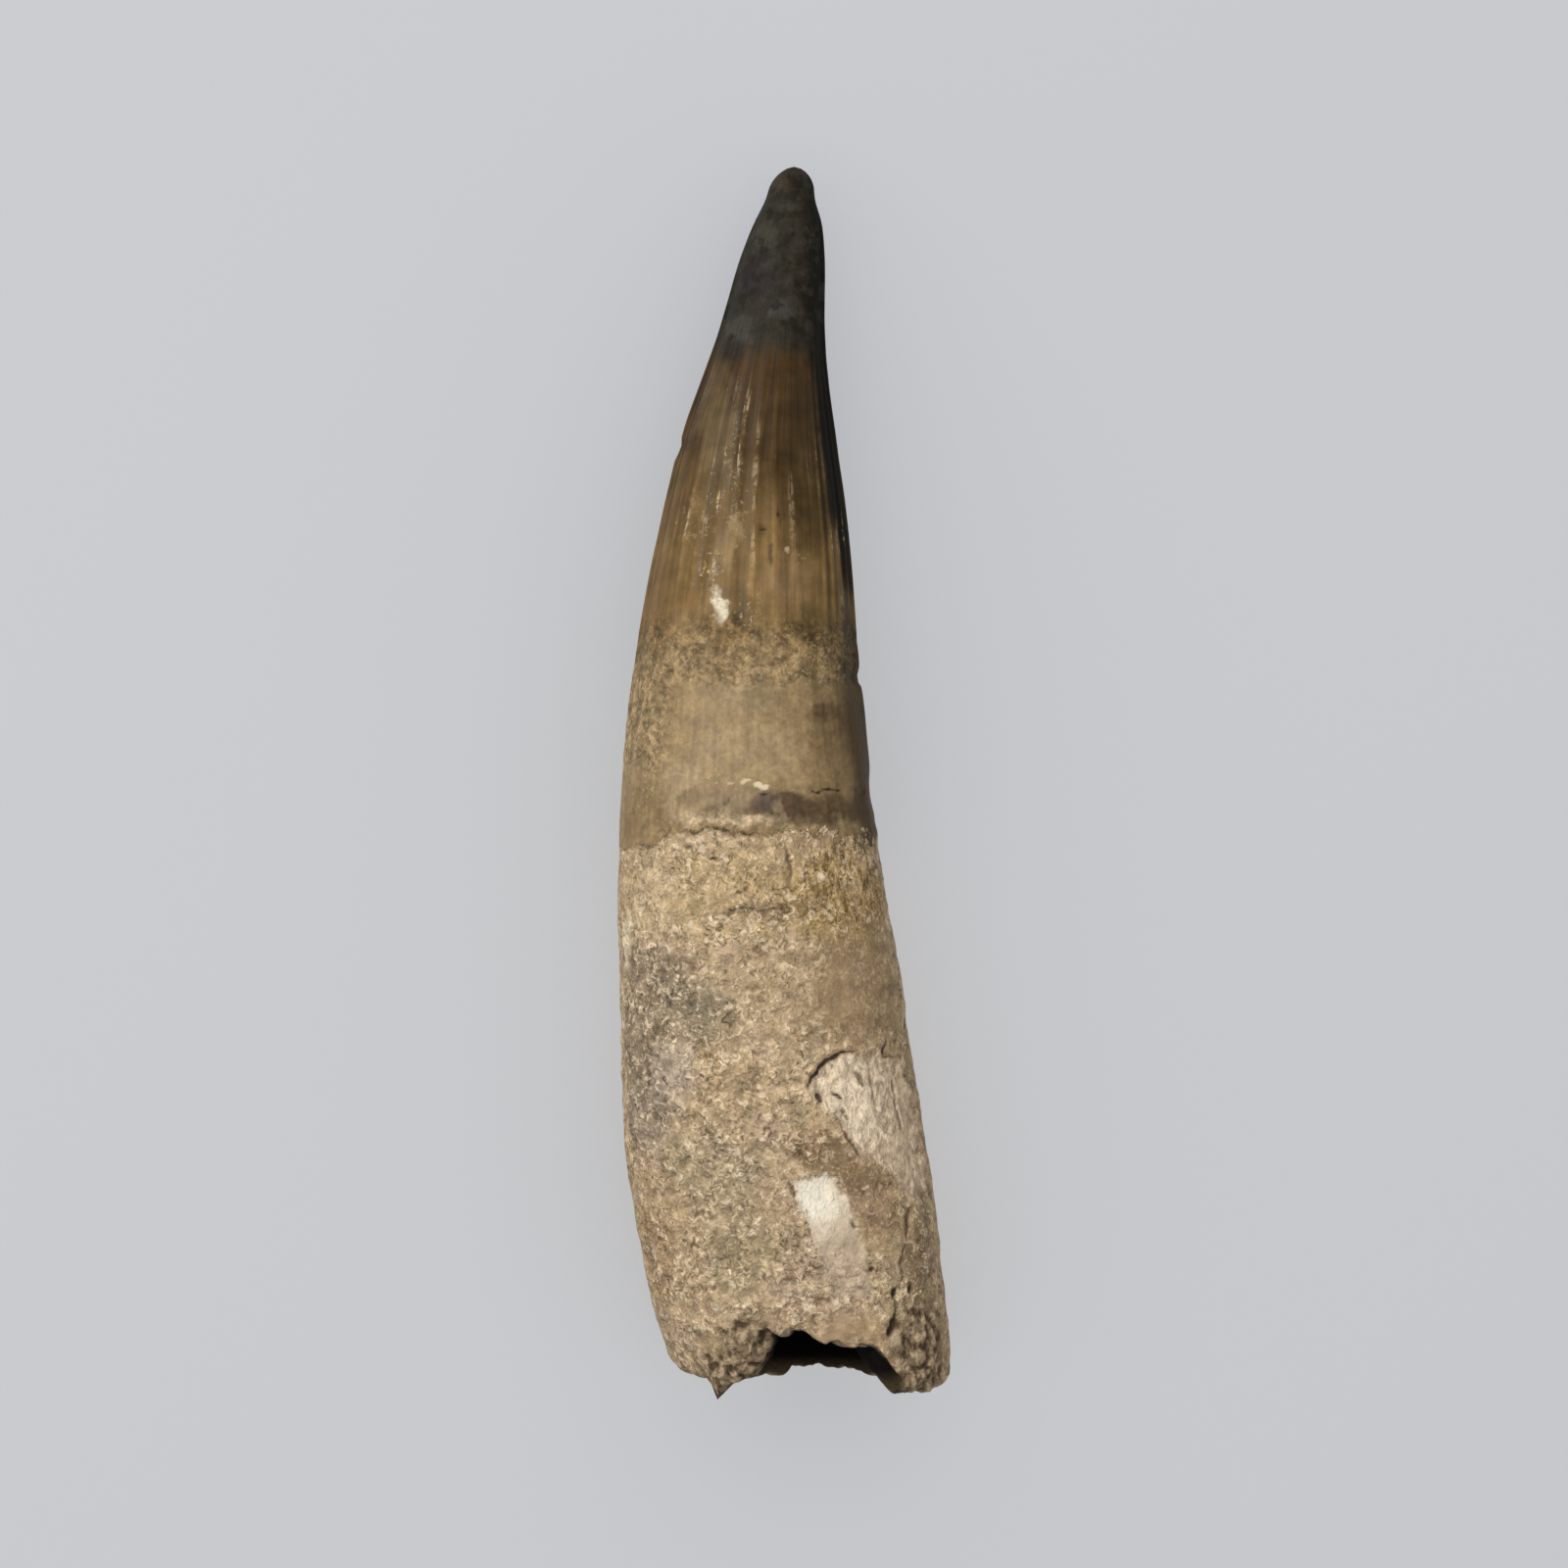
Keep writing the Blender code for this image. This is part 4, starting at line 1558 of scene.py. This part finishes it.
        # Lighter on the flute crests and darker in the grooves, read from the relief: painted highlight
        # and shade.
        crests = pad.span(of.stand, -0.05, 0.05, 0.80, 1.25)
        tone = pad.times(tone, pad.weigh(of.fluted, 1.0, crests))
        worn = pad.span(of.grain, 0.32, 0.7, 0.72, 1.34)
        worn = pad.times(worn, pad.span(of.mottle, 0.35, 0.65, 0.74, 1.10))
        tone = pad.times(tone, pad.weigh(of.grainy, 1.0, worn))
        return pad.times(tone, pad.span(of.mottle, 0.3, 0.7, 0.84, 1.16))

    def marked(self, pad: NodePad, of: EnamelPatterns, crumbs_and_sparkle: Socket, colour: Socket) -> Socket:
        """Lays crumbs with painted sparkle, chips and painted highlight spots, painted highlights along
        the crests, and the pits of the grain over a colour.

        Args:
            pad: The material's nodes.
            of: The enamel's patterns.
            crumbs_and_sparkle: Where the crumbs, with their painted sparkle, are.
            colour: The colour.

        Returns:
            The colour that results.
        """
        colour = pad.mix(pad.times(crumbs_and_sparkle, 0.7), colour, self.cream)
        # Chips, and painted highlight spots.
        colour = pad.tinted(colour, self.chips_and_highlights)
        # Painted highlights: pale broken lines along the flute crests.
        lines = pad.times(pad.span(of.stand, 0.0, 0.025), pad.span(of.fine, 0.44, 0.54))
        lines = pad.times(lines, pad.span(of.grain, 0.42, 0.55))
        colour = pad.mix(pad.times(pad.cover_any(self.painted_glints), lines), colour, self.painted_glint)
        pits = pad.times(of.grainy, pad.span(of.grain, 0.28, 0.37, 0.28, 0.0))
        return pad.mix(pits, colour, self.mark)

    def height(self, pad: NodePad, of: EnamelPatterns, crumbs_and_sparkle: Socket) -> Socket:
        """The fine height of the enamel, in millimetres, with its crumbs."""
        height = pad.times(of.fine, pad.weigh(of.fluted, 0.02, 0.07))
        grain = pad.calc("MULTIPLY_ADD", of.grainy, 0.17, 0.035)
        height = pad.calc("MULTIPLY_ADD", of.grain, grain, height)
        return pad.calc("MULTIPLY_ADD", crumbs_and_sparkle, 0.07, height)

    def shine(self, pad: NodePad, of: EnamelPatterns, stain_and_shade_strip: Socket) -> Socket:
        """Works out how rough the enamel is.

        Args:
            pad: The material's nodes.
            of: The enamel's patterns.
            stain_and_shade_strip: Where the dark strip, stain and painted shade, is.

        Returns:
            The roughness.
        """
        rough = pad.weigh(pad.span(of.depth, *self.dull_to), self.tip_roughness, self.roughness)
        rough = pad.weigh(of.grainy, rough, self.grainy_roughness)
        rough = pad.weigh(stain_and_shade_strip, rough, self.strip_roughness)
        rough = pad.plus(rough, pad.span(of.mottle, 0.3, 0.7, -0.05, 0.07))
        gloss = pad.times(pad.cover_any(self.glossy), pad.span(of.grain, 0.42, 0.52))
        return pad.weigh(gloss, rough, self.glossy_roughness)

    def crumbs_and_sparkle(self, pad: NodePad) -> Socket:
        """Scatters small raised crumbs over some places, whose cream also paints sparkle highlights: 1 on
        a crumb, 0 beside it.
        """
        where = pad.cover_any(self.speckled)
        crumbs = pad.noise(0.5, 2, 0.6, 0.3)
        return pad.times(where, pad.span(crumbs, 0.55, 0.68))


@dataclass(frozen=True)
class Flakes:
    """A place where the bone lies in flakes: how they are stretched, and their colours."""

    where: Oval
    stretch: tuple[float, float, float]
    light: Colour
    gap: Colour

    def over(self, pad: NodePad, colour: Socket) -> Socket:
        """Lays the flakes over a colour.

        Args:
            pad: The material's nodes.
            colour: The colour.

        Returns:
            The colour that results.
        """
        where = pad.cover(self.where)
        lie = pad.noise(0.9, 3, 0.6, 0.8, pad.scaled(pad.at, self.stretch))
        colour = pad.mix(pad.times(where, pad.span(lie, 0.50, 0.58, 0.0, 0.9)), colour, self.light)
        return pad.mix(pad.times(where, pad.span(lie, 0.38, 0.48, 0.8, 0.0)), colour, self.gap)


@dataclass(frozen=True)
class BoneFinish:
    """Dry, sandy root: tan, with dark dirt in its pits, pale wormy crests and grey and brown places."""

    sand: Colour = (0.368, 0.260, 0.145)
    pale: Colour = (0.420, 0.308, 0.185)
    pink: Colour = (0.440, 0.305, 0.210)
    brown: Colour = (0.270, 0.182, 0.098)
    dirt_and_shade: Colour = (0.080, 0.050, 0.024)
    crest: Colour = (0.690, 0.550, 0.380)
    flakes: tuple[Flakes, ...] = (
        Flakes(
            Oval(5.8, 70.4, 3.4, 4.0, 1.0, 0.5),
            (1.2, 0.4, 1.2),
            (0.530, 0.365, 0.185),
            (0.130, 0.076, 0.026),
        ),
        Flakes(
            Oval(3.6, 108.8, 4.2, 3.6, 0.9, 0.6),
            (0.6, 1.4, 1.0),
            (0.480, 0.360, 0.245),
            (0.135, 0.088, 0.050),
        ),
    )
    roughness: float = 0.80
    tints: tuple[Tint, ...] = (
        Tint(-4.0, 71.5, 11.5, 4.0, 0.5, 0.6, (0.400, 0.278, 0.126)),
        Tint(-13.4, 72.0, 2.6, 6.0, 0.55, 0.6, (0.480, 0.360, 0.220)),
        Tint(5.5, 71.8, 4.8, 4.4, 0.8, 0.45, (0.320, 0.208, 0.082)),
        Tint(4.8, 97.8, 2.6, 1.3, 0.8, 0.45, (0.200, 0.134, 0.072)),
        Tint(6.6, 81.0, 4.2, 6.5, 0.8, 0.45, (0.255, 0.170, 0.090)),
        Tint(-2.5, 73.2, 3.6, 0.8, 0.7, 0.45, (0.250, 0.175, 0.098)),
        Tint(-12.0, 78.5, 3.6, 2.8, 0.75, 0.45, (0.220, 0.162, 0.110)),
        Tint(-10.8, 83.0, 3.6, 3.0, 0.7, 0.6, (0.190, 0.148, 0.098)),
        Tint(-7.6, 82.6, 2.4, 2.8, 0.7, 0.6, (0.205, 0.168, 0.110)),
        Tint(-14.6, 87.5, 2.3, 5.0, 0.75, 0.6, (0.185, 0.140, 0.095)),
        Tint(-11.0, 88.8, 2.4, 3.2, 0.75, 0.45, (0.335, 0.268, 0.205)),
        Tint(-10.8, 80.9, 2.0, 1.8, 0.5, 0.6, (0.170, 0.130, 0.085)),
        Tint(-13.3, 93.5, 2.8, 3.4, 0.7, 0.45, (0.245, 0.192, 0.140)),
        Tint(-7.5, 98.0, 5.0, 3.8, 0.6, 0.45, (0.290, 0.228, 0.138)),
        Tint(1.5, 83.0, 1.6, 3.0, 0.6, 0.45, (0.300, 0.208, 0.118)),
        Tint(3.6, 95.9, 3.4, 1.9, 0.9, 0.45, (0.215, 0.143, 0.076)),
        Tint(7.4, 99.0, 2.6, 1.9, 0.9, 0.45, (0.200, 0.133, 0.070)),
        Tint(8.9, 102.6, 2.6, 2.6, 0.9, 0.45, (0.290, 0.196, 0.112)),
        Tint(-4.5, 117.5, 9.0, 6.0, 0.5, 0.6, (0.290, 0.205, 0.122)),
        Tint(-12.6, 107.0, 1.8, 5.0, 0.7, 0.45, (0.300, 0.196, 0.104)),
        Tint(-4.3, 106.5, 3.6, 5.8, 0.55, 0.45, (0.300, 0.238, 0.140)),
        Tint(3.7, 109.2, 3.8, 4.2, 0.7, 0.45, (0.345, 0.252, 0.167)),
        Tint(6.2, 113.6, 2.8, 1.6, 0.8, 0.45, (0.310, 0.212, 0.120)),
        Tint(12.9, 107.0, 1.3, 6.0, 0.75, 0.45, (0.220, 0.150, 0.084)),
        Tint(-15.5, 75.8, 0.55, 3.0, 0.85, 0.3, (0.640, 0.520, 0.350)),
    )
    smooth: tuple[Oval, ...] = (
        Oval(6.8, 80.5, 4.4, 6.0, 0.9, 0.6),
        Oval(6.2, 113.6, 3.0, 1.8, 1.0, 0.5),
        Oval(5.6, 98.0, 4.0, 2.0, 0.7, 0.6),
        Oval(9.0, 103.0, 2.4, 3.0, 0.6, 0.6),
    )

    def coat(self, pad: NodePad) -> Coat:
        """Paints the bone.

        Args:
            pad: The material's nodes.

        Returns:
            The surface.
        """
        broad = pad.noise(12, 3)
        patchy = pad.noise(3.2, 4, 0.62)
        colour = pad.mix(pad.span(broad, 0.35, 0.65), self.sand, self.pale)
        colour = pad.mix(pad.span(patchy, 0.52, 0.66, 0.0, 0.5), colour, self.brown)
        colour = pad.mix(pad.span(patchy, 0.34, 0.46, 0.6, 0.0), colour, self.pink)
        colour = pad.tinted(colour, self.tints)
        for flakes in self.flakes:
            colour = flakes.over(pad, colour)
        smooth = pad.cover_any(self.smooth)
        rough = pad.plus(pad.times(smooth, -0.75), 1.0)
        coarse = pad.times(pad.span(pad.noise(2.2, 3, 0.6), 0.36, 0.58, 0.40, 1.0), rough)
        grain = pad.noise(0.72, 3, 0.6, 1.3)
        fine = pad.noise(0.24, 1)
        worms = pad.times(pad.span(grain, 0.51, 0.64), coarse)
        gaps = pad.times(pad.span(grain, 0.32, 0.46, 1.0, 0.0), coarse)
        colour = pad.toned(colour, pad.weigh(rough, 1.0, pad.span(fine, 0.25, 0.75, 0.86, 1.14)))
        colour = pad.toned(colour, pad.weigh(gaps, 1.0, 0.38))
        colour = pad.mix(pad.times(worms, 0.88), colour, self.crest)
        pits = pad.times(pad.span(pad.noise(0.5, 2, 0.5), 0.24, 0.30, 0.7, 0.0), rough)
        colour = pad.mix(pits, colour, self.dirt_and_shade)
        blotches = pad.weigh(rough, 1.0, pad.span(pad.noise(1.4, 3, 0.6), 0.34, 0.66, 0.79, 1.22))
        # Lighter where the relief stands up and darker where it sinks: painted light and shade.
        raised = pad.span(pad.field("stand"), -0.10, 0.10, 0.78, 1.18)
        colour = pad.toned(colour, pad.times(blotches, raised))
        height = pad.times(grain, pad.weigh(coarse, 0.06, 0.42))
        height = pad.calc("MULTIPLY_ADD", fine, pad.weigh(rough, 0.01, 0.05), height)
        height = pad.calc("MULTIPLY_ADD", pits, -0.06, height)
        return Coat(colour, self.roughness, height)


@dataclass(frozen=True)
class FossilFinish:
    """The finish of the whole tooth, from its kinds of surface."""

    enamel: EnamelFinish = EnamelFinish()
    bone: BoneFinish = BoneFinish()
    cream: Colour = (0.660, 0.525, 0.370)
    cream_shade: Colour = (0.440, 0.325, 0.215)
    white: Colour = (0.740, 0.640, 0.490)
    white_shade: Colour = (0.660, 0.545, 0.405)
    # Near-black in cracks and darker in scratches: dirt, and painted shade in them.
    crack: Colour = (0.030, 0.019, 0.009)
    scratch: Colour = (0.075, 0.048, 0.022)
    seam: Colour = (0.060, 0.040, 0.020)
    # Painted shade in the hollow: near-black deep in, browner at the rim.
    hollow: Colour = (0.004, 0.002, 0.001)
    hollow_rim: Colour = (0.070, 0.047, 0.023)
    knob: Colour = (0.190, 0.132, 0.076)
    knob_crest: Colour = (0.430, 0.322, 0.202)
    knob_pit: Colour = (0.042, 0.026, 0.012)
    upper_scar_tints: tuple[Tint, ...] = (
        Tint(6.2, 91.6, 3.0, 3.6, 0.75, 0.6, (0.745, 0.605, 0.435)),
        Tint(11.8, 92.0, 1.4, 5.0, 0.7, 0.6, (0.590, 0.445, 0.300)),
        Tint(11.1, 98.0, 2.0, 3.2, 0.75, 0.6, (0.690, 0.517, 0.355)),
    )
    lower_scar_tints: tuple[Tint, ...] = (
        Tint(2.8, 100.6, 2.0, 2.2, 0.85, 0.5, (0.820, 0.760, 0.620)),
        Tint(6.2, 107.0, 2.8, 3.6, 0.7, 0.6, (0.440, 0.325, 0.225)),
        Tint(5.7, 103.2, 0.8, 1.8, 0.6, 0.6, (0.540, 0.430, 0.300)),
    )
    tongues: Oval = Oval(5.2, 66.0, 7.0, 5.0, 1.0, 0.3)
    seam_place: Oval = Oval(-6.8, 65.4, 5.6, 2.0, 0.7, 0.3)
    seam_elsewhere: float = 0.12
    scratch_strength: float = 0.62
    crack_strength: float = 0.88
    lower_scar_fade: Span = (102.5, 109.5)
    rim_depths: Span = (117.2, 119.4)
    scar_roughness: float = 0.78
    knob_roughness: float = 0.7
    specular: float = 0.12

    def material(self) -> bpy.types.Material:
        """Makes the material.

        Returns:
            The material.
        """
        pad = NodePad("fossil_tooth")
        edge_noise = pad.times(pad.plus(pad.noise(0.8, 3, 0.6), -0.5), 1.4)
        past = pad.calc("MULTIPLY_ADD", edge_noise, 0.8, pad.field("past_edge"))
        right = pad.cover(self.tongues)
        tongues = pad.times(pad.plus(pad.noise(1.5, 4, 0.7), -0.5), right)
        bony = pad.span(pad.calc("MULTIPLY_ADD", tongues, 7.0, past), 0.0, 0.35)
        coat = self.enamel.coat(pad).under(pad, self.bone.coat(pad), bony)
        coat = self.scarred(pad, edge_noise, coat)
        coat = self.knobbed(pad, coat)
        colour = self.seamed(pad, past, coat.colour)
        colour = self.cracked(pad, edge_noise, colour)
        pad.put(pad.shader.inputs["Base Color"], self.shade_hollow(pad, colour))
        pad.put(pad.shader.inputs["Roughness"], coat.roughness)
        pad.shader.inputs["Specular IOR Level"].default_value = self.specular
        pad.bump(coat.height)
        return pad.material

    def seamed(self, pad: NodePad, past: Socket, colour: Socket) -> Socket:
        """Lays the broken dark seam under the enamel's edge over a colour.

        Args:
            pad: The material's nodes.
            past: How far past the enamel's edge each place is.
            colour: The colour.

        Returns:
            The colour that results.
        """
        seam = pad.times(pad.span(past, 0.2, 0.5, 1.0, 0.0), pad.span(past, -0.15, 0.1))
        here = pad.cover(self.seam_place)
        broken = pad.span(pad.noise(1.2, 3, 0.6), 0.42, 0.56, 0.15, 1.0)
        seam = pad.times(pad.times(seam, broken), pad.calc("MAXIMUM", here, self.seam_elsewhere))
        return pad.mix(seam, colour, self.seam)

    def cracked(self, pad: NodePad, edge_noise: Socket, colour: Socket) -> Socket:
        """Lays the dark of scratches and cracks over a colour: dirt in them, and painted shade.

        Args:
            pad: The material's nodes.
            edge_noise: What makes their edges ragged, in millimetres.
            colour: The colour.

        Returns:
            The colour that results.
        """
        kinds = (
            ("scratch", self.scratch, self.scratch_strength),
            ("crack", self.crack, self.crack_strength),
        )
        for name, dirt_and_shade, strength in kinds:
            outside = pad.calc("MULTIPLY_ADD", edge_noise, 0.22, pad.field(name))
            colour = pad.mix(pad.span(outside, -0.06, 0.12, strength, 0.0), colour, dirt_and_shade)
        return colour

    def shade_hollow(self, pad: NodePad, colour: Socket) -> Socket:
        """Paints the shade in the hollow over a colour: darker deeper in, to near-black behind its rim."""
        deep = pad.mix(pad.span(pad.field("depth_mm"), *self.rim_depths), self.hollow, self.hollow_rim)
        return pad.mix(pad.span(pad.field("inner"), 0.45, 0.95), colour, deep)

    def scarred(self, pad: NodePad, edge_noise: Socket, coat: Coat) -> Coat:
        """Lays the smoother, paler bone of the two scars over a surface.

        Args:
            pad: The material's nodes.
            edge_noise: What makes the scars' edges ragged, in millimetres.
            coat: The surface.

        Returns:
            The surface that results.
        """
        streaks = pad.noise(0.9, 4, 0.65, 1.2, pad.scaled(pad.at, (1.0, 0.5, 1.0)))
        fine = pad.noise(0.55, 3, 0.6, 1.0)
        worn = pad.span(streaks, 0.32, 0.66, 0.66, 1.18)
        worn = pad.times(worn, pad.span(fine, 0.30, 0.60, 0.74, 1.10))
        evener = pad.calc("MULTIPLY_ADD", worn, 0.28, 0.70)
        fading = pad.calc("MULTIPLY_ADD", edge_noise, 3.0, pad.field("depth_mm"))
        faded = {"upper_scar": 0.95, "lower_scar": pad.span(fading, *self.lower_scar_fade, 0.97, 0.24)}
        # Each scar mixes a shaded and a lit copy of its colour by its lumps and relief: painted shade and
        # light.
        lumps = pad.span(pad.plus(streaks, pad.times(pad.field("stand"), 1.4)), 0.34, 0.66)
        height = pad.calc("MULTIPLY_ADD", fine, 0.12, pad.times(streaks, 0.34))
        rows = (
            ("upper_scar", self.cream_shade, self.cream, self.upper_scar_tints, worn),
            ("lower_scar", self.white_shade, self.white, self.lower_scar_tints, evener),
        )
        for name, shade, light, tints, tone in rows:
            inside = pad.calc("MULTIPLY_ADD", edge_noise, 1.7, pad.field(name))
            colour = pad.toned(pad.tinted(pad.mix(lumps, shade, light), tints), tone)
            cover = pad.times(pad.span(inside, -0.35, 0.45), faded[name])
            coat = coat.under(pad, Coat(colour, self.scar_roughness, height), cover)
        return coat

    def knobbed(self, pad: NodePad, coat: Coat) -> Coat:
        """Lays dark knobs with pale crests over a surface, on the lobe and on the crumbled edge.

        Args:
            pad: The material's nodes.
            coat: The surface.

        Returns:
            The surface that results.
        """
        # The knobs' pale crests and dark pits follow the relief as well as noise: painted highlight and
        # shade over their own colour.
        lumps = pad.calc("MULTIPLY_ADD", pad.field("stand"), 1.3, pad.noise(0.8, 3, 0.62, 1.2))
        colour = pad.mix(pad.span(lumps, 0.48, 0.72), self.knob, self.knob_crest)
        colour = pad.mix(pad.span(lumps, 0.32, 0.48, 0.9, 0.0), colour, self.knob_pit)
        where = pad.calc("MAXIMUM", pad.field("lobe"), pad.field("crumbled"))
        cover = pad.span(where, 0.25, 0.65, 0.0, 0.9)
        return coat.under(pad, Coat(colour, self.knob_roughness, coat.height), cover)


@dataclass(frozen=True)
class Lamp:
    """A round area light that faces the tooth."""

    name: str
    direction: tuple[float, float, float]
    distance: float
    size: float
    power: float
    in_reflections: bool = True

    def hang(self, lit: bpy.types.Object, shaded_by: bpy.types.Object) -> None:
        """Hangs the light.

        Args:
            lit: What it lights.
            shaded_by: What casts its shadow.
        """
        light = bpy.data.lights.new(self.name, "AREA")
        light.shape = "DISK"
        light.size = self.size
        light.energy = self.power
        lamp = bpy.data.objects.new(self.name, light)
        direction = Vector(self.direction).normalized()
        lamp.location = direction * self.distance
        lamp.rotation_euler = direction.to_track_quat("Z", "Y").to_euler()
        lamp.visible_glossy = self.in_reflections
        lamp.light_linking.receiver_collection = bpy.data.collections.new(f"{self.name}_lit")
        lamp.light_linking.receiver_collection.objects.link(lit)
        lamp.light_linking.blocker_collection = bpy.data.collections.new(f"{self.name}_shade")
        lamp.light_linking.blocker_collection.objects.link(shaded_by)
        bpy.context.scene.collection.objects.link(lamp)


@dataclass(frozen=True)
class Studio:
    """A plain pale floor, a key light from the upper left, a fill, soft light on the floor, a camera."""

    floor_colour: Colour = (0.60, 0.615, 0.64)
    floor_size: float = 6.0
    key: Lamp = Lamp("key", (-0.50, 0.36, 0.79), 1.2, 0.25, 12.5)
    fill: Lamp = Lamp("fill", (0.55, -0.10, 0.80), 1.2, 0.8, 3.0, False)
    floor_light: Lamp = Lamp("floor_light", (-0.20, 0.15, 0.95), 1.1, 1.6, 11.0, False)
    surround: float = 0.40
    view_height: float = 643.1
    view_level: float = 8.0
    view_centre: tuple[float, float] = (0.0, -0.58)
    lens: float = 150.0

    def lay_floor(self) -> bpy.types.Object:
        """Lays the floor under the tooth.

        Returns:
            The floor.
        """
        half = self.floor_size / 2
        mesh = bpy.data.meshes.new("floor")
        corners = [(-half, -half, 0), (half, -half, 0), (half, half, 0), (-half, half, 0)]
        mesh.from_pydata(corners, [], [(0, 1, 2, 3)])
        pad = NodePad("pale_floor")
        pad.put(pad.shader.inputs["Base Color"], self.floor_colour)
        pad.put(pad.shader.inputs["Roughness"], 0.9)
        mesh.materials.append(pad.material)
        floor = bpy.data.objects.new("floor", mesh)
        bpy.context.scene.collection.objects.link(floor)
        return floor

    def light(self, tooth: bpy.types.Object, floor: bpy.types.Object) -> None:
        """Lights the tooth, the floor and the surround.

        Args:
            tooth: The tooth.
            floor: The floor.
        """
        self.key.hang(tooth, tooth)
        self.fill.hang(tooth, tooth)
        self.floor_light.hang(floor, floor)
        world = bpy.data.worlds.new("surround")
        world.use_nodes = True
        world.node_tree.nodes["Background"].inputs["Strength"].default_value = self.surround
        world.node_tree.nodes["Background"].inputs["Color"].default_value = (1, 1, 1, 1)
        bpy.context.scene.world = world
        world.cycles_visibility.glossy = False

    def set_camera(self) -> None:
        """Hangs the camera straight above the tooth, with the tip away from it."""
        data = bpy.data.cameras.new("camera")
        data.lens = self.lens
        camera = bpy.data.objects.new("camera", data)
        height = (self.view_height + self.view_level) * MM
        camera.location = (self.view_centre[0] * MM, self.view_centre[1] * MM, height)
        bpy.context.scene.collection.objects.link(camera)
        bpy.context.scene.camera = camera
        bpy.context.scene.view_settings.view_transform = "Standard"


def main() -> None:
    """Builds the tooth, fitted to the box of the CAD solid, and the studio."""
    logging.basicConfig(level=logging.INFO, format="%(message)s")
    tooth = Tooth()
    skin = tooth.build()
    tooth.dress(skin)
    log.info("%s: %d points, %d faces", skin.name, len(skin.data.vertices), len(skin.data.polygons))
    studio = Studio()
    floor = studio.lay_floor()
    studio.light(skin, floor)
    studio.set_camera()


if __name__ == "__main__":
    main()
